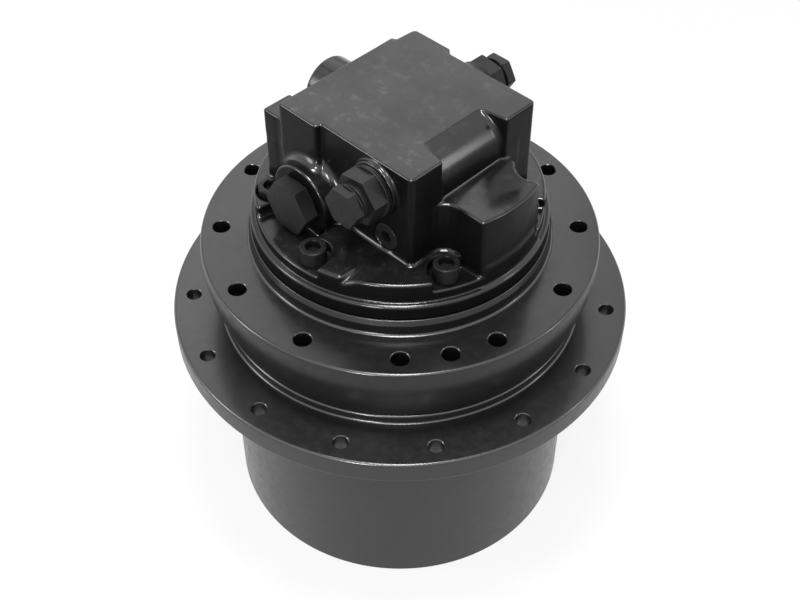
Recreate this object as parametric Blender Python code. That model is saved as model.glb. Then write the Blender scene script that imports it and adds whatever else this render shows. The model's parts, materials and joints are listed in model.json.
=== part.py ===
"""Hydraulic track drive: fixed spindle with axial piston motor and valve cover, two planet stages, turning hub."""

import bpy
import bmesh
from math import acos, cos, pi, radians, sin, sqrt, tan
from mathutils import Matrix, Vector

MM = 0.001

# Facets of the turned shapes
LARGE = 36
MEDIUM = 24
MIDDLE = 18
SMALL = 12
PEG = 10
HOLE = 8
BOLT = 6

# Clearance between neighbours that touch in the real drive
SEAT = 0.3 * MM

# Gear train: module, pressure angle, tooth counts
MODULE = 4.8 * MM
PRESSURE = radians(25)
ADDENDUM = 0.9 * MODULE
DEDENDUM = 1.15 * MODULE
THINNING = 0.25 * MM
RING_TEETH = 45
SUN_1_TEETH = 9
PLANET_1_TEETH = 18
SUN_2_TEETH = 15
PLANET_2_TEETH = 15
RING_TIP_R = MODULE * RING_TEETH / 2 - ADDENDUM
RING_RELIEF_R = MODULE * RING_TEETH / 2 + DEDENDUM + 0.8 * MM
CENTRE_1 = MODULE * (SUN_1_TEETH + PLANET_1_TEETH) / 2
CENTRE_2 = MODULE * (SUN_2_TEETH + PLANET_2_TEETH) / 2
STAGE_1_ANGLES = (30, 150, 270)
STAGE_2_ANGLES = (90, 210, 330)

# Heights of the gearbox, stacked from the resting face up
GROOVE_LOW = 3.0 * MM
GROOVE_W = 3.3 * MM
END_COVER_T = 9.7 * MM
RING_ENTRY = 2.0 * MM
PLANET_1_LIFT = 8.0 * MM
PLANET_1_W = 18.0 * MM
CARRIER_GAP = 1.0 * MM
CARRIER_T = 10.0 * MM
STAGE_GAP = 7.0 * MM
PLANET_2_W = 30.0 * MM
PLATE_LIFT = 5.0 * MM
PLATE_T = 15.0 * MM
GROOVE_Z = (GROOVE_LOW, GROOVE_LOW + GROOVE_W)
COVER_STEP_Z = GROOVE_Z[1] + END_COVER_T
PLANET_1_Z = (COVER_STEP_Z + PLANET_1_LIFT, COVER_STEP_Z + PLANET_1_LIFT + PLANET_1_W)
CARRIER_1_Z = (PLANET_1_Z[1] + CARRIER_GAP, PLANET_1_Z[1] + CARRIER_GAP + CARRIER_T)
PLANET_2_Z = (CARRIER_1_Z[1] + STAGE_GAP, CARRIER_1_Z[1] + STAGE_GAP + PLANET_2_W)
PIN_PLATE_Z = (PLANET_2_Z[1] + PLATE_LIFT, PLANET_2_Z[1] + PLATE_LIFT + PLATE_T)
RING_Z = (COVER_STEP_Z + RING_ENTRY, PLANET_2_Z[1] + RING_ENTRY)
RELIEF_TOP_Z = RING_Z[1] + 4.0 * MM

# Heights of the bearings and the seal, stacked on the gearbox
CONE_H = 19.4 * MM
RIDGE_W = 18.0 * MM
SEAL_DEPTH = 11.0 * MM
SEAL_FLOOR_LIFT = 3.7 * MM
SEAL_LIFT = 2.0 * MM
RUNNING_GAP = 2.0 * MM
SPINDLE_END_Z = PIN_PLATE_Z[1] + 2 * SEAT
RIDGE_Z = (SPINDLE_END_Z + CONE_H, SPINDLE_END_Z + CONE_H + RIDGE_W)
SHOULDER_Z = RIDGE_Z[1] + CONE_H + 0.9 * MM
SEAL_FLOOR_Z = SHOULDER_Z + SEAL_FLOOR_LIFT
COLLAR_TOP_Z = SEAL_FLOOR_Z + SEAL_DEPTH
SKIRT_Z = COLLAR_TOP_Z + RUNNING_GAP
SEAL_FACE_Z = COLLAR_TOP_Z + RUNNING_GAP / 2
SEAL_ROOF_Z = SKIRT_Z + SEAL_DEPTH

# Heights of the motor, stacked on its floor
MOTOR_FLOOR_LIFT = 2.0 * MM
FRONT_BEARING_H = 18.0 * MM
LIP_SEAL_H = 8.0 * MM
SWASH_T = 16.0 * MM
SLIPPER_SPACE = 18.0 * MM
BLOCK_L = 56.0 * MM
BRAKE_STACK = 44.4 * MM
PORT_PLATE_T = 7.0 * MM
REAR_BEARING_H = 16.0 * MM
MOTOR_FLOOR_Z = RIDGE_Z[1] + MOTOR_FLOOR_LIFT
FRONT_BEARING_Z = MOTOR_FLOOR_Z - FRONT_BEARING_H
RECESS_TOP_Z = FRONT_BEARING_Z - LIP_SEAL_H
SWASH_TOP_Z = MOTOR_FLOOR_Z + SWASH_T
BLOCK_Z = (SWASH_TOP_Z + SLIPPER_SPACE, SWASH_TOP_Z + SLIPPER_SPACE + BLOCK_L)
BRAKE_TOP_Z = BLOCK_Z[1]
BRAKE_STEP_Z = BRAKE_TOP_Z - BRAKE_STACK
PISTON_TOP_Z = BLOCK_Z[1] - 8.0 * MM
JOINT_Z = BLOCK_Z[1] + PORT_PLATE_T
REAR_BEARING_Z = (JOINT_Z - MM, JOINT_Z - MM + REAR_BEARING_H)
SHAFT_Z = (PIN_PLATE_Z[1] + 2.0 * MM, BLOCK_Z[1], REAR_BEARING_Z[1] - MM)

# Heights of the outside faces
SPROCKET_T = 17.0 * MM
COLLAR_H = 7.0 * MM
PILOT_H = 12.0 * MM
FRAME_T = 22.0 * MM
COVER_H = 26.5 * MM
FLOOR_DROP = 7.5 * MM
BLOCK_H = 70.0 * MM
SPROCKET_TOP_Z = COLLAR_TOP_Z - COLLAR_H
SPROCKET_Z = SPROCKET_TOP_Z - SPROCKET_T
FRAME_Z = JOINT_Z - PILOT_H
FLANGE_Z = FRAME_Z - FRAME_T
DECK_Z = JOINT_Z + COVER_H
LOW_FLOOR_Z = DECK_Z - FLOOR_DROP
BLOCK_TOP_Z = DECK_Z + BLOCK_H

# Motor, brake and shaft
MOTOR_BORE_R = 68.0 * MM
BRAKE_STEP = 4.0 * MM
SWASH_BORE_R = MOTOR_BORE_R - BRAKE_STEP
SHAFT_R = 17.0 * MM
SHAFT_END_R = 12.0 * MM
FRONT_BEARING_R = 26.0 * MM
LIP_SEAL_R = 20.0 * MM
RECESS_R = 50.0 * MM
BRAKE_SECTION = 20.0 * MM
BLOCK_R = MOTOR_BORE_R - BRAKE_SECTION
PISTONS = 7
PISTON_R = 8.2 * MM
PISTON_PITCH_R = (SHAFT_R + BLOCK_R) / 2 + 0.5 * MM
PISTON_NECK_R = 6.0 * MM
SLIPPER_R = 11.0 * MM
REAR_BEARING_R = 20.0 * MM
COVER_BOSS_R = 47.0 * MM

# Frame side: cover screws outside the motor bore, then deck, cover, pilot neck and flange
SCREW_WALL = 19.0 * MM
COVER_MARGIN = 12.0 * MM
SHOULDER_W = 4.1 * MM
COVER_STEP = 1.9 * MM
FRAME_LEDGE = 34.4 * MM
FRAME_MARGIN = 14.4 * MM
EDGE = 1.4 * MM
COVER_PITCH_R = MOTOR_BORE_R + SCREW_WALL
DECK_R = COVER_PITCH_R + COVER_MARGIN
COVER_R = DECK_R + SHOULDER_W
PILOT_R = COVER_R + COVER_STEP
FRAME_R = PILOT_R + FRAME_LEDGE

# Drum side: the bearing bore clears the ring gear, all walls and seats follow from the bore
BORE_RELIEF = 0.02 * MM
BEARING_SECTION = 15.7 * MM
RIDGE_H = 5.7 * MM
NECK_STEP = 8.0 * MM
SEAL_POCKET = 10.6 * MM
DRUM_WALL = 24.3 * MM
SPROCKET_LEDGE = 36.5 * MM
SPROCKET_MARGIN = 14.5 * MM
COVER_LAND = 1.98 * MM
GROOVE_DEPTH = 3.7 * MM
BEARING_BORE_R = RING_TIP_R + BORE_RELIEF
BEARING_SEAT_R = BEARING_BORE_R - BEARING_SECTION
RIDGE_R = BEARING_BORE_R - RIDGE_H
NECK_R = BEARING_SEAT_R + NECK_STEP
SEAL_SEAT_R = BEARING_BORE_R + SEAL_POCKET
DRUM_R = BEARING_BORE_R + DRUM_WALL
COLLAR_R = DRUM_R + 0.6 * MM
SKIRT_R = DRUM_R + 2.0 * MM
SPROCKET_R = DRUM_R + SPROCKET_LEDGE
COVER_BORE_R = RING_RELIEF_R + COVER_LAND
GROOVE_R = COVER_BORE_R + GROOVE_DEPTH
ROLLERS = 14

# Carrier, pin plate and pins
CARRIER_MARGIN = 12.2 * MM
CARRIER_1_R = CENTRE_1 + CARRIER_MARGIN
PIN_PLATE_LIP = 4.0 * MM
PIN_PLATE_R = BEARING_SEAT_R + PIN_PLATE_LIP
PIN_PLATE_BORE_R = 30.0 * MM
PIN_1_R = 9.0 * MM
PIN_2_R = 11.0 * MM
PIN_2_END_R = 9.0 * MM
PIN_2_GRIP = 18.0 * MM
PIN_2_TOP_Z = PIN_PLATE_Z[1] + PIN_2_GRIP
PIN_HEAD = 5.0 * MM
PIN_HEAD_H = 2.4 * MM
BUSH_GAP = 1.5 * MM
SUN_SHAFT_R = 12.0 * MM

# Bolt patterns
SPROCKET_HOLE_R = 5.25 * MM
SPROCKET_ANGLES = [-36 + 24 * k for k in range(15)]
SPROCKET_PITCH_R = SPROCKET_R - SPROCKET_MARGIN
FRAME_HOLE_R = 6.1 * MM
FRAME_HOLE_DEPTH = 26.0 * MM
FRAME_ANGLES = [-45 + 30 * k for k in range(12)] + [-30]
FRAME_PITCH_R = FRAME_R - FRAME_MARGIN
COVER_ANGLES = [-25.3, 28.0, 85.0, 135.0, 180.0, -131.0, -84.8]
POCKET_ANGLES = [85.0, 135.0, 180.0]
COVER_SCREW_R = 5.0 * MM
COVER_HEAD_R = 8.0 * MM
SCREW_ACCESS_R = 9.2 * MM
COVER_HEAD_H = 10.0 * MM
COVER_SCREW_END_Z = JOINT_Z - 19.0 * MM

# Valve cover: features named by the way they face
SPOOL_X = -23.6 * MM
SPOOL_Z = DECK_Z + 13.5 * MM
SPOOL_R = 12.0 * MM
SPOOL_BORE_R = 12.5 * MM
SPOOL_BOSS_R = (32.5 * MM, 25.8 * MM)
SPOOL_BOSS_Y = (-69.3 * MM, 70.0 * MM)
SPOOL_CAP_AF = 34.0 * MM
SPOOL_CAP_H = 12.0 * MM
RELIEF_DROP = 21.0 * MM
RELIEF_FRONT = (32.5 * MM, BLOCK_TOP_Z - RELIEF_DROP)
RELIEF_REAR = (5.5 * MM, BLOCK_TOP_Z - RELIEF_DROP)
RELIEF_FRONT_Y = -56.6 * MM
RELIEF_REAR_Y = 64.9 * MM
RELIEF_BORE_R = 9.0 * MM
RELIEF_SEAT_R = 18.7 * MM
RELIEF_TURN = 8.0
PORT_DROP = 27.5 * MM
PORT_2_DROP = 36.5 * MM
PORT_1 = (5.0 * MM, BLOCK_TOP_Z - PORT_DROP)
PORT_2 = (-45.0 * MM, BLOCK_TOP_Z - PORT_2_DROP)
PORT_BORE_R = 10.5 * MM
PORT_DEPTH = 20.0 * MM
PORT_BOSS_R = 21.0 * MM
PORT_1_X = -75.0 * MM
PORT_2_X = -68.5 * MM
PLUG = (40.0 * MM, DECK_Z + 11.5 * MM)
PLUG_R = 10.0 * MM
FRONT_Y = -53.0 * MM
HUMP_X = 32.0 * MM
HUMP_Z = BLOCK_TOP_Z - PORT_DROP
HUMP_R = 28.5 * MM
CORNER = 3.5 * MM

for item in list(bpy.data.objects):
    bpy.data.objects.remove(item)


def material(name, colour, roughness, metallic):
    """Principled material of one finish."""
    made = bpy.data.materials.new(name)
    made.use_nodes = True
    shader = made.node_tree.nodes["Principled BSDF"]
    shader.inputs["Base Color"].default_value = (*colour, 1.0)
    shader.inputs["Roughness"].default_value = roughness
    shader.inputs["Metallic"].default_value = metallic
    made.diffuse_color = (*colour, 1.0)
    return made


def solid(name, geometry, finish=None, matrix=Matrix()):
    """Object from one or several closed shells, faces outward."""
    vertices, faces = geometry
    mesh = bpy.data.meshes.new(name)
    mesh.from_pydata([matrix @ Vector(v) for v in vertices], [], faces)
    shell = bmesh.new()
    shell.from_mesh(mesh)
    bmesh.ops.recalc_face_normals(shell, faces=shell.faces)
    shell.to_mesh(mesh)
    shell.free()
    made = bpy.data.objects.new(name, mesh)
    bpy.context.scene.collection.objects.link(made)
    if finish:
        mesh.materials.append(finish)
    return made


def group(*shells):
    """One geometry out of several shells that do not touch."""
    vertices = []
    faces = []
    for shell_vertices, shell_faces in shells:
        base = len(vertices)
        vertices.extend(shell_vertices)
        faces.extend([tuple(base + i for i in face) for face in shell_faces])
    return vertices, faces


def moved(geometry, matrix):
    """Geometry carried to another place."""
    vertices, faces = geometry
    return [tuple(matrix @ Vector(v)) for v in vertices], faces


def at(x, y, z=0.0, turn=0.0):
    """Place on the plan, turned about the vertical by an angle in degrees."""
    return Matrix.Translation((x, y, z)) @ Matrix.Rotation(radians(turn), 4, "Z")


def around(radius, angle, z=0.0):
    """Place on a pitch circle, turned to face outward."""
    return at(radius * cos(radians(angle)), radius * sin(radians(angle)), z, angle)


def spun(profile, count, start=0.0):
    """Turned solid: chain of (radius, height) from one flat end to the other."""
    vertices = []
    for radius, z in profile:
        for k in range(count):
            angle = start + 2 * pi * k / count
            vertices.append((radius * cos(angle), radius * sin(angle), z))
    faces = [tuple(range(count)), tuple(range(len(vertices) - count, len(vertices)))]
    for row in range(len(profile) - 1):
        for k in range(count):
            m = (k + 1) % count
            faces.append((row * count + k, row * count + m, (row + 1) * count + m, (row + 1) * count + k))
    return vertices, faces


def ring(profile, count, start=0.0):
    """Turned ring: closed section of (radius, height)."""
    vertices, faces = spun(profile, count, start)
    last = (len(profile) - 1) * count
    faces = faces[2:]
    for k in range(count):
        m = (k + 1) % count
        faces.append((last + k, last + m, m, k))
    return vertices, faces


def washer(inner, outer, low, high, count):
    """Plain ring of rectangular section."""
    return ring([(inner, low), (outer, low), (outer, high), (inner, high)], count)


def rod(radius, low, high, count, start=0.0):
    """Plain round bar."""
    return spun([(radius, low), (radius, high)], count, start)


def prism(outline, low, high):
    """Straight extrusion of a plan outline."""
    count = len(outline)
    vertices = [(x, y, low) for x, y in outline] + [(x, y, high) for x, y in outline]
    faces = [tuple(range(count)), tuple(range(count, 2 * count))]
    for k in range(count):
        m = (k + 1) % count
        faces.append((k, m, count + m, count + k))
    return vertices, faces


def hexagon(across_flats, low, high, turn=0.0):
    """Hexagon bar."""
    return rod(across_flats / sqrt(3), low, high, 6, radians(turn))


def coil(radius, wire, turns, low, high, steps=6, sides=4):
    """Round wire helical spring, ends square to the wire."""
    vertices = []
    total = int(turns * steps)
    for i in range(total + 1):
        angle = 2 * pi * i / steps
        z = low + wire + (high - low - 2 * wire) * i / total
        for k in range(sides):
            side = 2 * pi * k / sides
            r = radius + wire * cos(side)
            vertices.append((r * cos(angle), r * sin(angle), z + wire * sin(side)))
    faces = [tuple(range(sides)), tuple(range(total * sides, (total + 1) * sides))]
    for i in range(total):
        for k in range(sides):
            m = (k + 1) % sides
            faces.append((i * sides + k, i * sides + m, (i + 1) * sides + m, (i + 1) * sides + k))
    return vertices, faces


def bake(target):
    """Replace the mesh by its evaluated form, flat faces merged."""
    graph = bpy.context.evaluated_depsgraph_get()
    mesh = bpy.data.meshes.new_from_object(target.evaluated_get(graph))
    target.modifiers.clear()
    spent = target.data
    target.data = mesh
    mesh.name = target.name
    bpy.data.meshes.remove(spent)
    shell = bmesh.new()
    shell.from_mesh(mesh)
    bmesh.ops.remove_doubles(shell, verts=shell.verts, dist=0.00001)
    bmesh.ops.dissolve_limit(shell, angle_limit=radians(0.2), verts=shell.verts, edges=shell.edges)
    shell.to_mesh(mesh)
    shell.free()


def boolean(target, operation, *shapes):
    """Unite with, cut by or keep the common part with each group of shells."""
    for shape in shapes:
        tool = solid("tool", shape)
        tool.hide_render = True
        tool.display_type = "WIRE"
        modifier = target.modifiers.new("shape", "BOOLEAN")
        modifier.operation = operation
        modifier.solver = "EXACT"
        modifier.object = tool
        bake(target)
        spent = tool.data
        bpy.data.objects.remove(tool)
        bpy.data.meshes.remove(spent)
    return target


def piece(target, finish, body=None, origin=(0.0, 0.0, 0.0)):
    """Give a finished piece its finish, its shading and its place in the assembly."""
    target.data.materials.clear()
    target.data.materials.append(finish)
    target.data.transform(Matrix.Translation(-Vector(origin)))
    target.data.shade_smooth()
    target.data.set_sharp_from_angle(angle=radians(31))
    target.location = Vector(origin)
    if body:
        target.parent = body
        target.location = Vector(origin) - body.location
    return target


def body(name, origin=(0.0, 0.0, 0.0), parent=None):
    """Empty on the joint axis of a moving group."""
    made = bpy.data.objects.new(name, None)
    bpy.context.scene.collection.objects.link(made)
    made.location = origin
    if parent:
        made.parent = parent
    return made


def involute(angle):
    """Involute function of the pressure angle."""
    return tan(angle) - angle


def teeth(count, thicker, inner, outer, phase):
    """Outline of straight-flanked teeth whose corners lie on the involute; phase in degrees."""
    pitch_r = MODULE * count / 2
    base_r = pitch_r * cos(PRESSURE)
    points = []
    for k in range(count):
        centre = radians(phase) + 2 * pi * k / count
        for radius, side in ((inner, -1), (outer, -1), (outer, 1), (inner, 1)):
            reach = max(radius, base_r)
            half = pi / (2 * count) + thicker / pitch_r + involute(PRESSURE) - involute(acos(base_r / reach))
            angle = centre + side * half
            points.append((radius * cos(angle), radius * sin(angle)))
    return points


def gear_outline(count, phase):
    """Outer gear, thinned for backlash."""
    pitch_r = MODULE * count / 2
    return teeth(count, -THINNING / 2, pitch_r - DEDENDUM, pitch_r + ADDENDUM, phase)


def nearest(target, step, base=0.0):
    """Member of an even row of angles that lies nearest to the target."""
    return base + round((target - base) / step) * step


def planet_phase(angle, count):
    """Direction of one planet tooth so that the planet meshes with the ring gear."""
    off = nearest(angle, 360 / RING_TEETH) - angle
    return angle + off * RING_TEETH / count


def sun_phase(angle, planet_count, sun_count):
    """Direction of one sun tooth so that the sun meshes with the planet at the angle."""
    phase = planet_phase(angle, planet_count)
    off = nearest(angle + 180, 360 / planet_count, phase) - (angle + 180)
    return angle - off * planet_count / sun_count + 180 / sun_count


def rounded(points, size):
    """Plan outline with each corner cut off."""
    result = []
    count = len(points)
    for k in range(count):
        here = Vector(points[k])
        for other in (Vector(points[k - 1]), Vector(points[(k + 1) % count])):
            step = min(size, (other - here).length * 0.3)
            spot = here + (other - here).normalized() * step
            result.append((spot.x, spot.y))
    return result


PAINT = material("black_paint", (0.022, 0.023, 0.024), 0.38, 0.25)
MACHINED = material("machined_steel", (0.52, 0.52, 0.53), 0.32, 1.0)
GROUND = material("ground_steel", (0.66, 0.66, 0.67), 0.2, 1.0)
GEAR_STEEL = material("gear_steel", (0.36, 0.36, 0.37), 0.3, 1.0)
OXIDE = material("black_oxide", (0.03, 0.03, 0.032), 0.42, 0.6)
BRONZE = material("bronze", (0.6, 0.42, 0.2), 0.35, 1.0)
RUBBER = material("nitrile_rubber", (0.02, 0.02, 0.02), 0.7, 0.0)
FRICTION = material("friction_lining", (0.16, 0.12, 0.09), 0.85, 0.0)
SPRING = material("spring_steel", (0.3, 0.3, 0.32), 0.35, 1.0)

TO_FRONT = Matrix.Rotation(radians(90), 4, "X")
TO_REAR = Matrix.Rotation(radians(-90), 4, "X")
TO_LEFT = Matrix.Rotation(radians(-90), 4, "Y")

hub_body = body("hub_axis")
motor_body = body("motor_shaft_axis")
carrier_body = body("first_carrier_axis")

# Spindle: casting with frame flange, pilot, motor bore, bearing seat and seal pocket
shape = solid("spindle", ring([
    (COVER_R + 0.4 * MM, JOINT_Z - SEAT / 2),
    (PILOT_R, FRAME_Z + 8 * MM),
    (PILOT_R, FRAME_Z),
    (FRAME_R - EDGE, FRAME_Z),
    (FRAME_R, FRAME_Z - EDGE),
    (FRAME_R, FLANGE_Z + 5 * MM),
    (FRAME_R - 3 * MM, FLANGE_Z),
    (SKIRT_R, SKIRT_Z + EDGE),
    (SKIRT_R - EDGE, SKIRT_Z),
    (SEAL_SEAT_R, SKIRT_Z),
    (SEAL_SEAT_R, SEAL_ROOF_Z),
    (NECK_R, SEAL_ROOF_Z),
    (NECK_R, SHOULDER_Z),
    (BEARING_SEAT_R, SHOULDER_Z),
    (BEARING_SEAT_R, SPINDLE_END_Z),
    (RECESS_R, SPINDLE_END_Z),
    (RECESS_R, RECESS_TOP_Z),
    (LIP_SEAL_R, RECESS_TOP_Z),
    (LIP_SEAL_R, FRONT_BEARING_Z),
    (FRONT_BEARING_R, FRONT_BEARING_Z),
    (FRONT_BEARING_R, MOTOR_FLOOR_Z),
    (SWASH_BORE_R, MOTOR_FLOOR_Z),
    (SWASH_BORE_R, BRAKE_STEP_Z),
    (MOTOR_BORE_R, BRAKE_STEP_Z),
    (MOTOR_BORE_R, JOINT_Z - SEAT / 2),
], LARGE))
frame_holes = [
    moved(rod(FRAME_HOLE_R, FRAME_Z - FRAME_HOLE_DEPTH, FRAME_Z + 5 * MM, HOLE), around(FRAME_PITCH_R, a))
    for a in FRAME_ANGLES
]
cover_threads = [
    moved(rod(COVER_SCREW_R + SEAT, COVER_SCREW_END_Z - 2 * MM, JOINT_Z + MM, BOLT), around(COVER_PITCH_R, a))
    for a in COVER_ANGLES
]
pin_seats = [
    moved(rod(PIN_2_END_R + SEAT, SPINDLE_END_Z - MM, PIN_2_TOP_Z + MM, PEG), around(CENTRE_2, a))
    for a in STAGE_2_ANGLES
]
boolean(shape, "DIFFERENCE", group(*frame_holes, *cover_threads, *pin_seats))
piece(shape, PAINT)

# Rear cover: round cover with low screw floors, valve block, saddle, bosses and bores
shape = solid("rear_cover", spun([
    (REAR_BEARING_R, REAR_BEARING_Z[1]),
    (REAR_BEARING_R, REAR_BEARING_Z[0]),
    (COVER_BOSS_R, REAR_BEARING_Z[0]),
    (COVER_BOSS_R, JOINT_Z + SEAT / 2),
    (COVER_R, JOINT_Z + SEAT / 2),
    (COVER_R, JOINT_Z + 13 * MM),
    (DECK_R, JOINT_Z + 15.5 * MM),
    (DECK_R, DECK_Z),
], LARGE))
floor_outlines = [
    [(-120, -56.5), (-50, -56.5), (-50, -44), (8, -44), (16.5, -79.1), (28.5, -116), (-120, -116)],
    [(58, -47), (66, -52), (80, -63), (116, -80), (116, -20), (58, -20)],
    [(58, 30), (116, 30), (116, 83.7), (58, 41.8)],
    [(-46, 55), (-1, 55), (-1, 116), (-46, 116)],
]
low_floors = [
    prism([(x * MM, y * MM) for x, y in outline], LOW_FLOOR_Z, DECK_Z + 5 * MM) for outline in floor_outlines
]
boolean(shape, "DIFFERENCE", group(*low_floors))
pockets = [
    moved(rod(13 * MM, LOW_FLOOR_Z, DECK_Z + 5 * MM, SMALL), around(COVER_PITCH_R + 3 * MM, a))
    for a in POCKET_ANGLES
]
boolean(shape, "DIFFERENCE", group(*pockets))

BLOCK_OUTLINE = [
    (62.5, -53.0), (62.5, -25.4), (41.8, -22.0), (41.8, 29.5), (62.5, 33.0), (62.5, 60.5), (-13.2, 60.5),
    (-17.0, 64.5), (-50.0, 64.5), (-50.9, 47.4), (-54.3, 46.4), (-50.0, -57.5), (-17.2, -57.5), (-13.7, -53.0),
]
ROOT_Z = REAR_BEARING_Z[1] + 1.5 * MM
block = prism(rounded([(x * MM, y * MM) for x, y in BLOCK_OUTLINE], CORNER), ROOT_Z, BLOCK_TOP_Z)

# Rounded housing over the gallery, a quarter of it standing out of the recess
arc_top = acos((41.8 * MM - HUMP_X) / HUMP_R)
hump_section = [(HUMP_X - 6 * MM, ROOT_Z), (HUMP_X + HUMP_R, ROOT_Z)]
hump_section += [
    (HUMP_X + HUMP_R * cos(arc_top * k / 6), HUMP_Z + HUMP_R * sin(arc_top * k / 6)) for k in range(7)
]
hump_section.append((HUMP_X - 6 * MM, hump_section[-1][1]))
TO_SIDE = Matrix(((1, 0, 0, 0), (0, 0, 1, 0), (0, 1, 0, 0), (0, 0, 0, 1)))
hump = moved(prism(hump_section, -25 * MM, 34 * MM), TO_SIDE)

# Saddle beside the block: concave top, outer wall concentric with the cover
SADDLE_OUTLINE = [
    (55, -36), (62.5, -33), (63.8, -28.2), (67.8, -24.2), (73, -22.5), (110, -22.5), (110, 33.5), (91, 36.5), (55, 36.5),
]
SADDLE_Z = BLOCK_TOP_Z - 21.5 * MM
WALL_INSET = 0.7 * MM
WALL_DRAFT = 3.0 * MM
HOLLOW_R = 62.6 * MM
HOLLOW_X = 92.0 * MM
HOLLOW_Z = BLOCK_TOP_Z + 27.1 * MM
saddle = solid("saddle", prism([(x * MM, y * MM) for x, y in SADDLE_OUTLINE], ROOT_Z, SADDLE_Z))
boolean(
    saddle, "INTERSECT", spun([
        (DECK_R - WALL_INSET, JOINT_Z), (DECK_R - WALL_INSET, ROOT_Z), (DECK_R - WALL_INSET - WALL_DRAFT, SADDLE_Z),
    ], LARGE),
)
hollow = rod(HOLLOW_R, -60 * MM, 60 * MM, 48)
boolean(saddle, "DIFFERENCE", moved(hollow, Matrix.Translation((HOLLOW_X, 0, HOLLOW_Z)) @ TO_FRONT))
modifier = shape.modifiers.new("shape", "BOOLEAN")
modifier.operation = "UNION"
modifier.solver = "EXACT"
modifier.object = saddle
bake(shape)
bpy.data.objects.remove(saddle)
boolean(shape, "UNION", block, hump)

front_boss = spun([
    (SPOOL_BOSS_R[0], 48 * MM),
    (SPOOL_BOSS_R[0], 58 * MM),
    (SPOOL_BOSS_R[1] + 1.5 * MM, 66 * MM),
    (SPOOL_BOSS_R[1], -SPOOL_BOSS_Y[0]),
], MIDDLE)
rear_boss = spun([
    (SPOOL_BOSS_R[0], 50 * MM),
    (SPOOL_BOSS_R[0] - 2.5 * MM, 62 * MM),
    (SPOOL_BOSS_R[1] + 1.5 * MM, 67 * MM),
    (SPOOL_BOSS_R[1], SPOOL_BOSS_Y[1]),
], MIDDLE)
PORT_BOX_OUTLINE = [(-45, -57.5), (-45, -33), (-68.5, -33), (-68.5, -57.5)]
PORT_BOX_Z = BLOCK_TOP_Z - 13.5 * MM
port_box = prism(rounded([(x * MM, y * MM) for x, y in PORT_BOX_OUTLINE], 2.5 * MM), ROOT_Z, PORT_BOX_Z)
port_boss = spun([(PORT_BOSS_R, 40 * MM), (PORT_BOSS_R, -PORT_1_X - MM), (PORT_BOSS_R - MM, -PORT_1_X)], MIDDLE)
relief_seat = rod(RELIEF_SEAT_R, 45 * MM, -RELIEF_FRONT_Y, MIDDLE)
rear_relief_seat = rod(RELIEF_SEAT_R, 50 * MM, RELIEF_REAR_Y, MIDDLE)
spool_front = Matrix.Translation((SPOOL_X, 0, SPOOL_Z)) @ TO_FRONT
spool_rear = Matrix.Translation((SPOOL_X, 0, SPOOL_Z)) @ TO_REAR
tilt = Matrix.Rotation(radians(RELIEF_TURN), 4, "Z")
relief_front = Matrix.Translation((RELIEF_FRONT[0], 0, RELIEF_FRONT[1])) @ TO_FRONT @ tilt
relief_rear = Matrix.Translation((RELIEF_REAR[0], 0, RELIEF_REAR[1])) @ TO_REAR @ tilt
port_left = Matrix.Translation((0, PORT_1[0], PORT_1[1])) @ TO_LEFT
port_low = Matrix.Translation((0, PORT_2[0], PORT_2[1])) @ TO_LEFT
plug_front = Matrix.Translation((PLUG[0], 0, PLUG[1])) @ TO_FRONT
boolean(
    shape, "UNION",
    moved(front_boss, spool_front), moved(rear_boss, spool_rear), port_box, moved(port_boss, port_left),
    moved(relief_seat, relief_front), moved(rear_relief_seat, relief_rear),
)
RELIEF_BORE_DEPTH = 28.0 * MM
PLUG_DEPTH = 12.0 * MM
bores = [
    moved(rod(SPOOL_BORE_R, -90 * MM, 90 * MM, PEG), spool_front),
    moved(rod(RELIEF_BORE_R, -RELIEF_FRONT_Y - RELIEF_BORE_DEPTH, 70 * MM, HOLE), relief_front),
    moved(rod(RELIEF_BORE_R, RELIEF_REAR_Y - RELIEF_BORE_DEPTH, 80 * MM, HOLE), relief_rear),
    moved(rod(PORT_BORE_R, -PORT_1_X - PORT_DEPTH, 90 * MM, SMALL), port_left),
    moved(rod(PORT_BORE_R, -PORT_2_X - PORT_DEPTH, 90 * MM, SMALL), port_low),
    moved(rod(PLUG_R, -FRONT_Y - PLUG_DEPTH, 60 * MM, SMALL), plug_front),
]
boolean(shape, "DIFFERENCE", group(*bores))
boolean(shape, "DIFFERENCE", group(*[
    moved(rod(SCREW_ACCESS_R, LOW_FLOOR_Z, BLOCK_TOP_Z + MM, SMALL), around(COVER_PITCH_R, a))
    for a in COVER_ANGLES
]))
boolean(shape, "DIFFERENCE", group(*[
    moved(rod(COVER_SCREW_R + SEAT, JOINT_Z - MM, LOW_FLOOR_Z + MM, BOLT), around(COVER_PITCH_R, a))
    for a in COVER_ANGLES
]))
piece(shape, PAINT)

# Cover screws: seven socket head cap screws that clamp the cover on the spindle
HEAD_Z = LOW_FLOOR_Z + SEAT
SOCKET_DEPTH = 5.0 * MM
SOCKET_AF = 8.0 * MM
for number, angle in enumerate(COVER_ANGLES, 1):
    place = around(COVER_PITCH_R, angle)
    top_z = HEAD_Z + COVER_HEAD_H
    shape = solid("cover_screw_%d" % number, moved(rod(COVER_HEAD_R, HEAD_Z, top_z, PEG), place))
    boolean(shape, "UNION", moved(rod(COVER_SCREW_R, COVER_SCREW_END_Z, HEAD_Z + MM, BOLT), place))
    boolean(shape, "DIFFERENCE", moved(hexagon(SOCKET_AF, top_z - SOCKET_DEPTH, top_z + MM), place))
    piece(shape, OXIDE)

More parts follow.
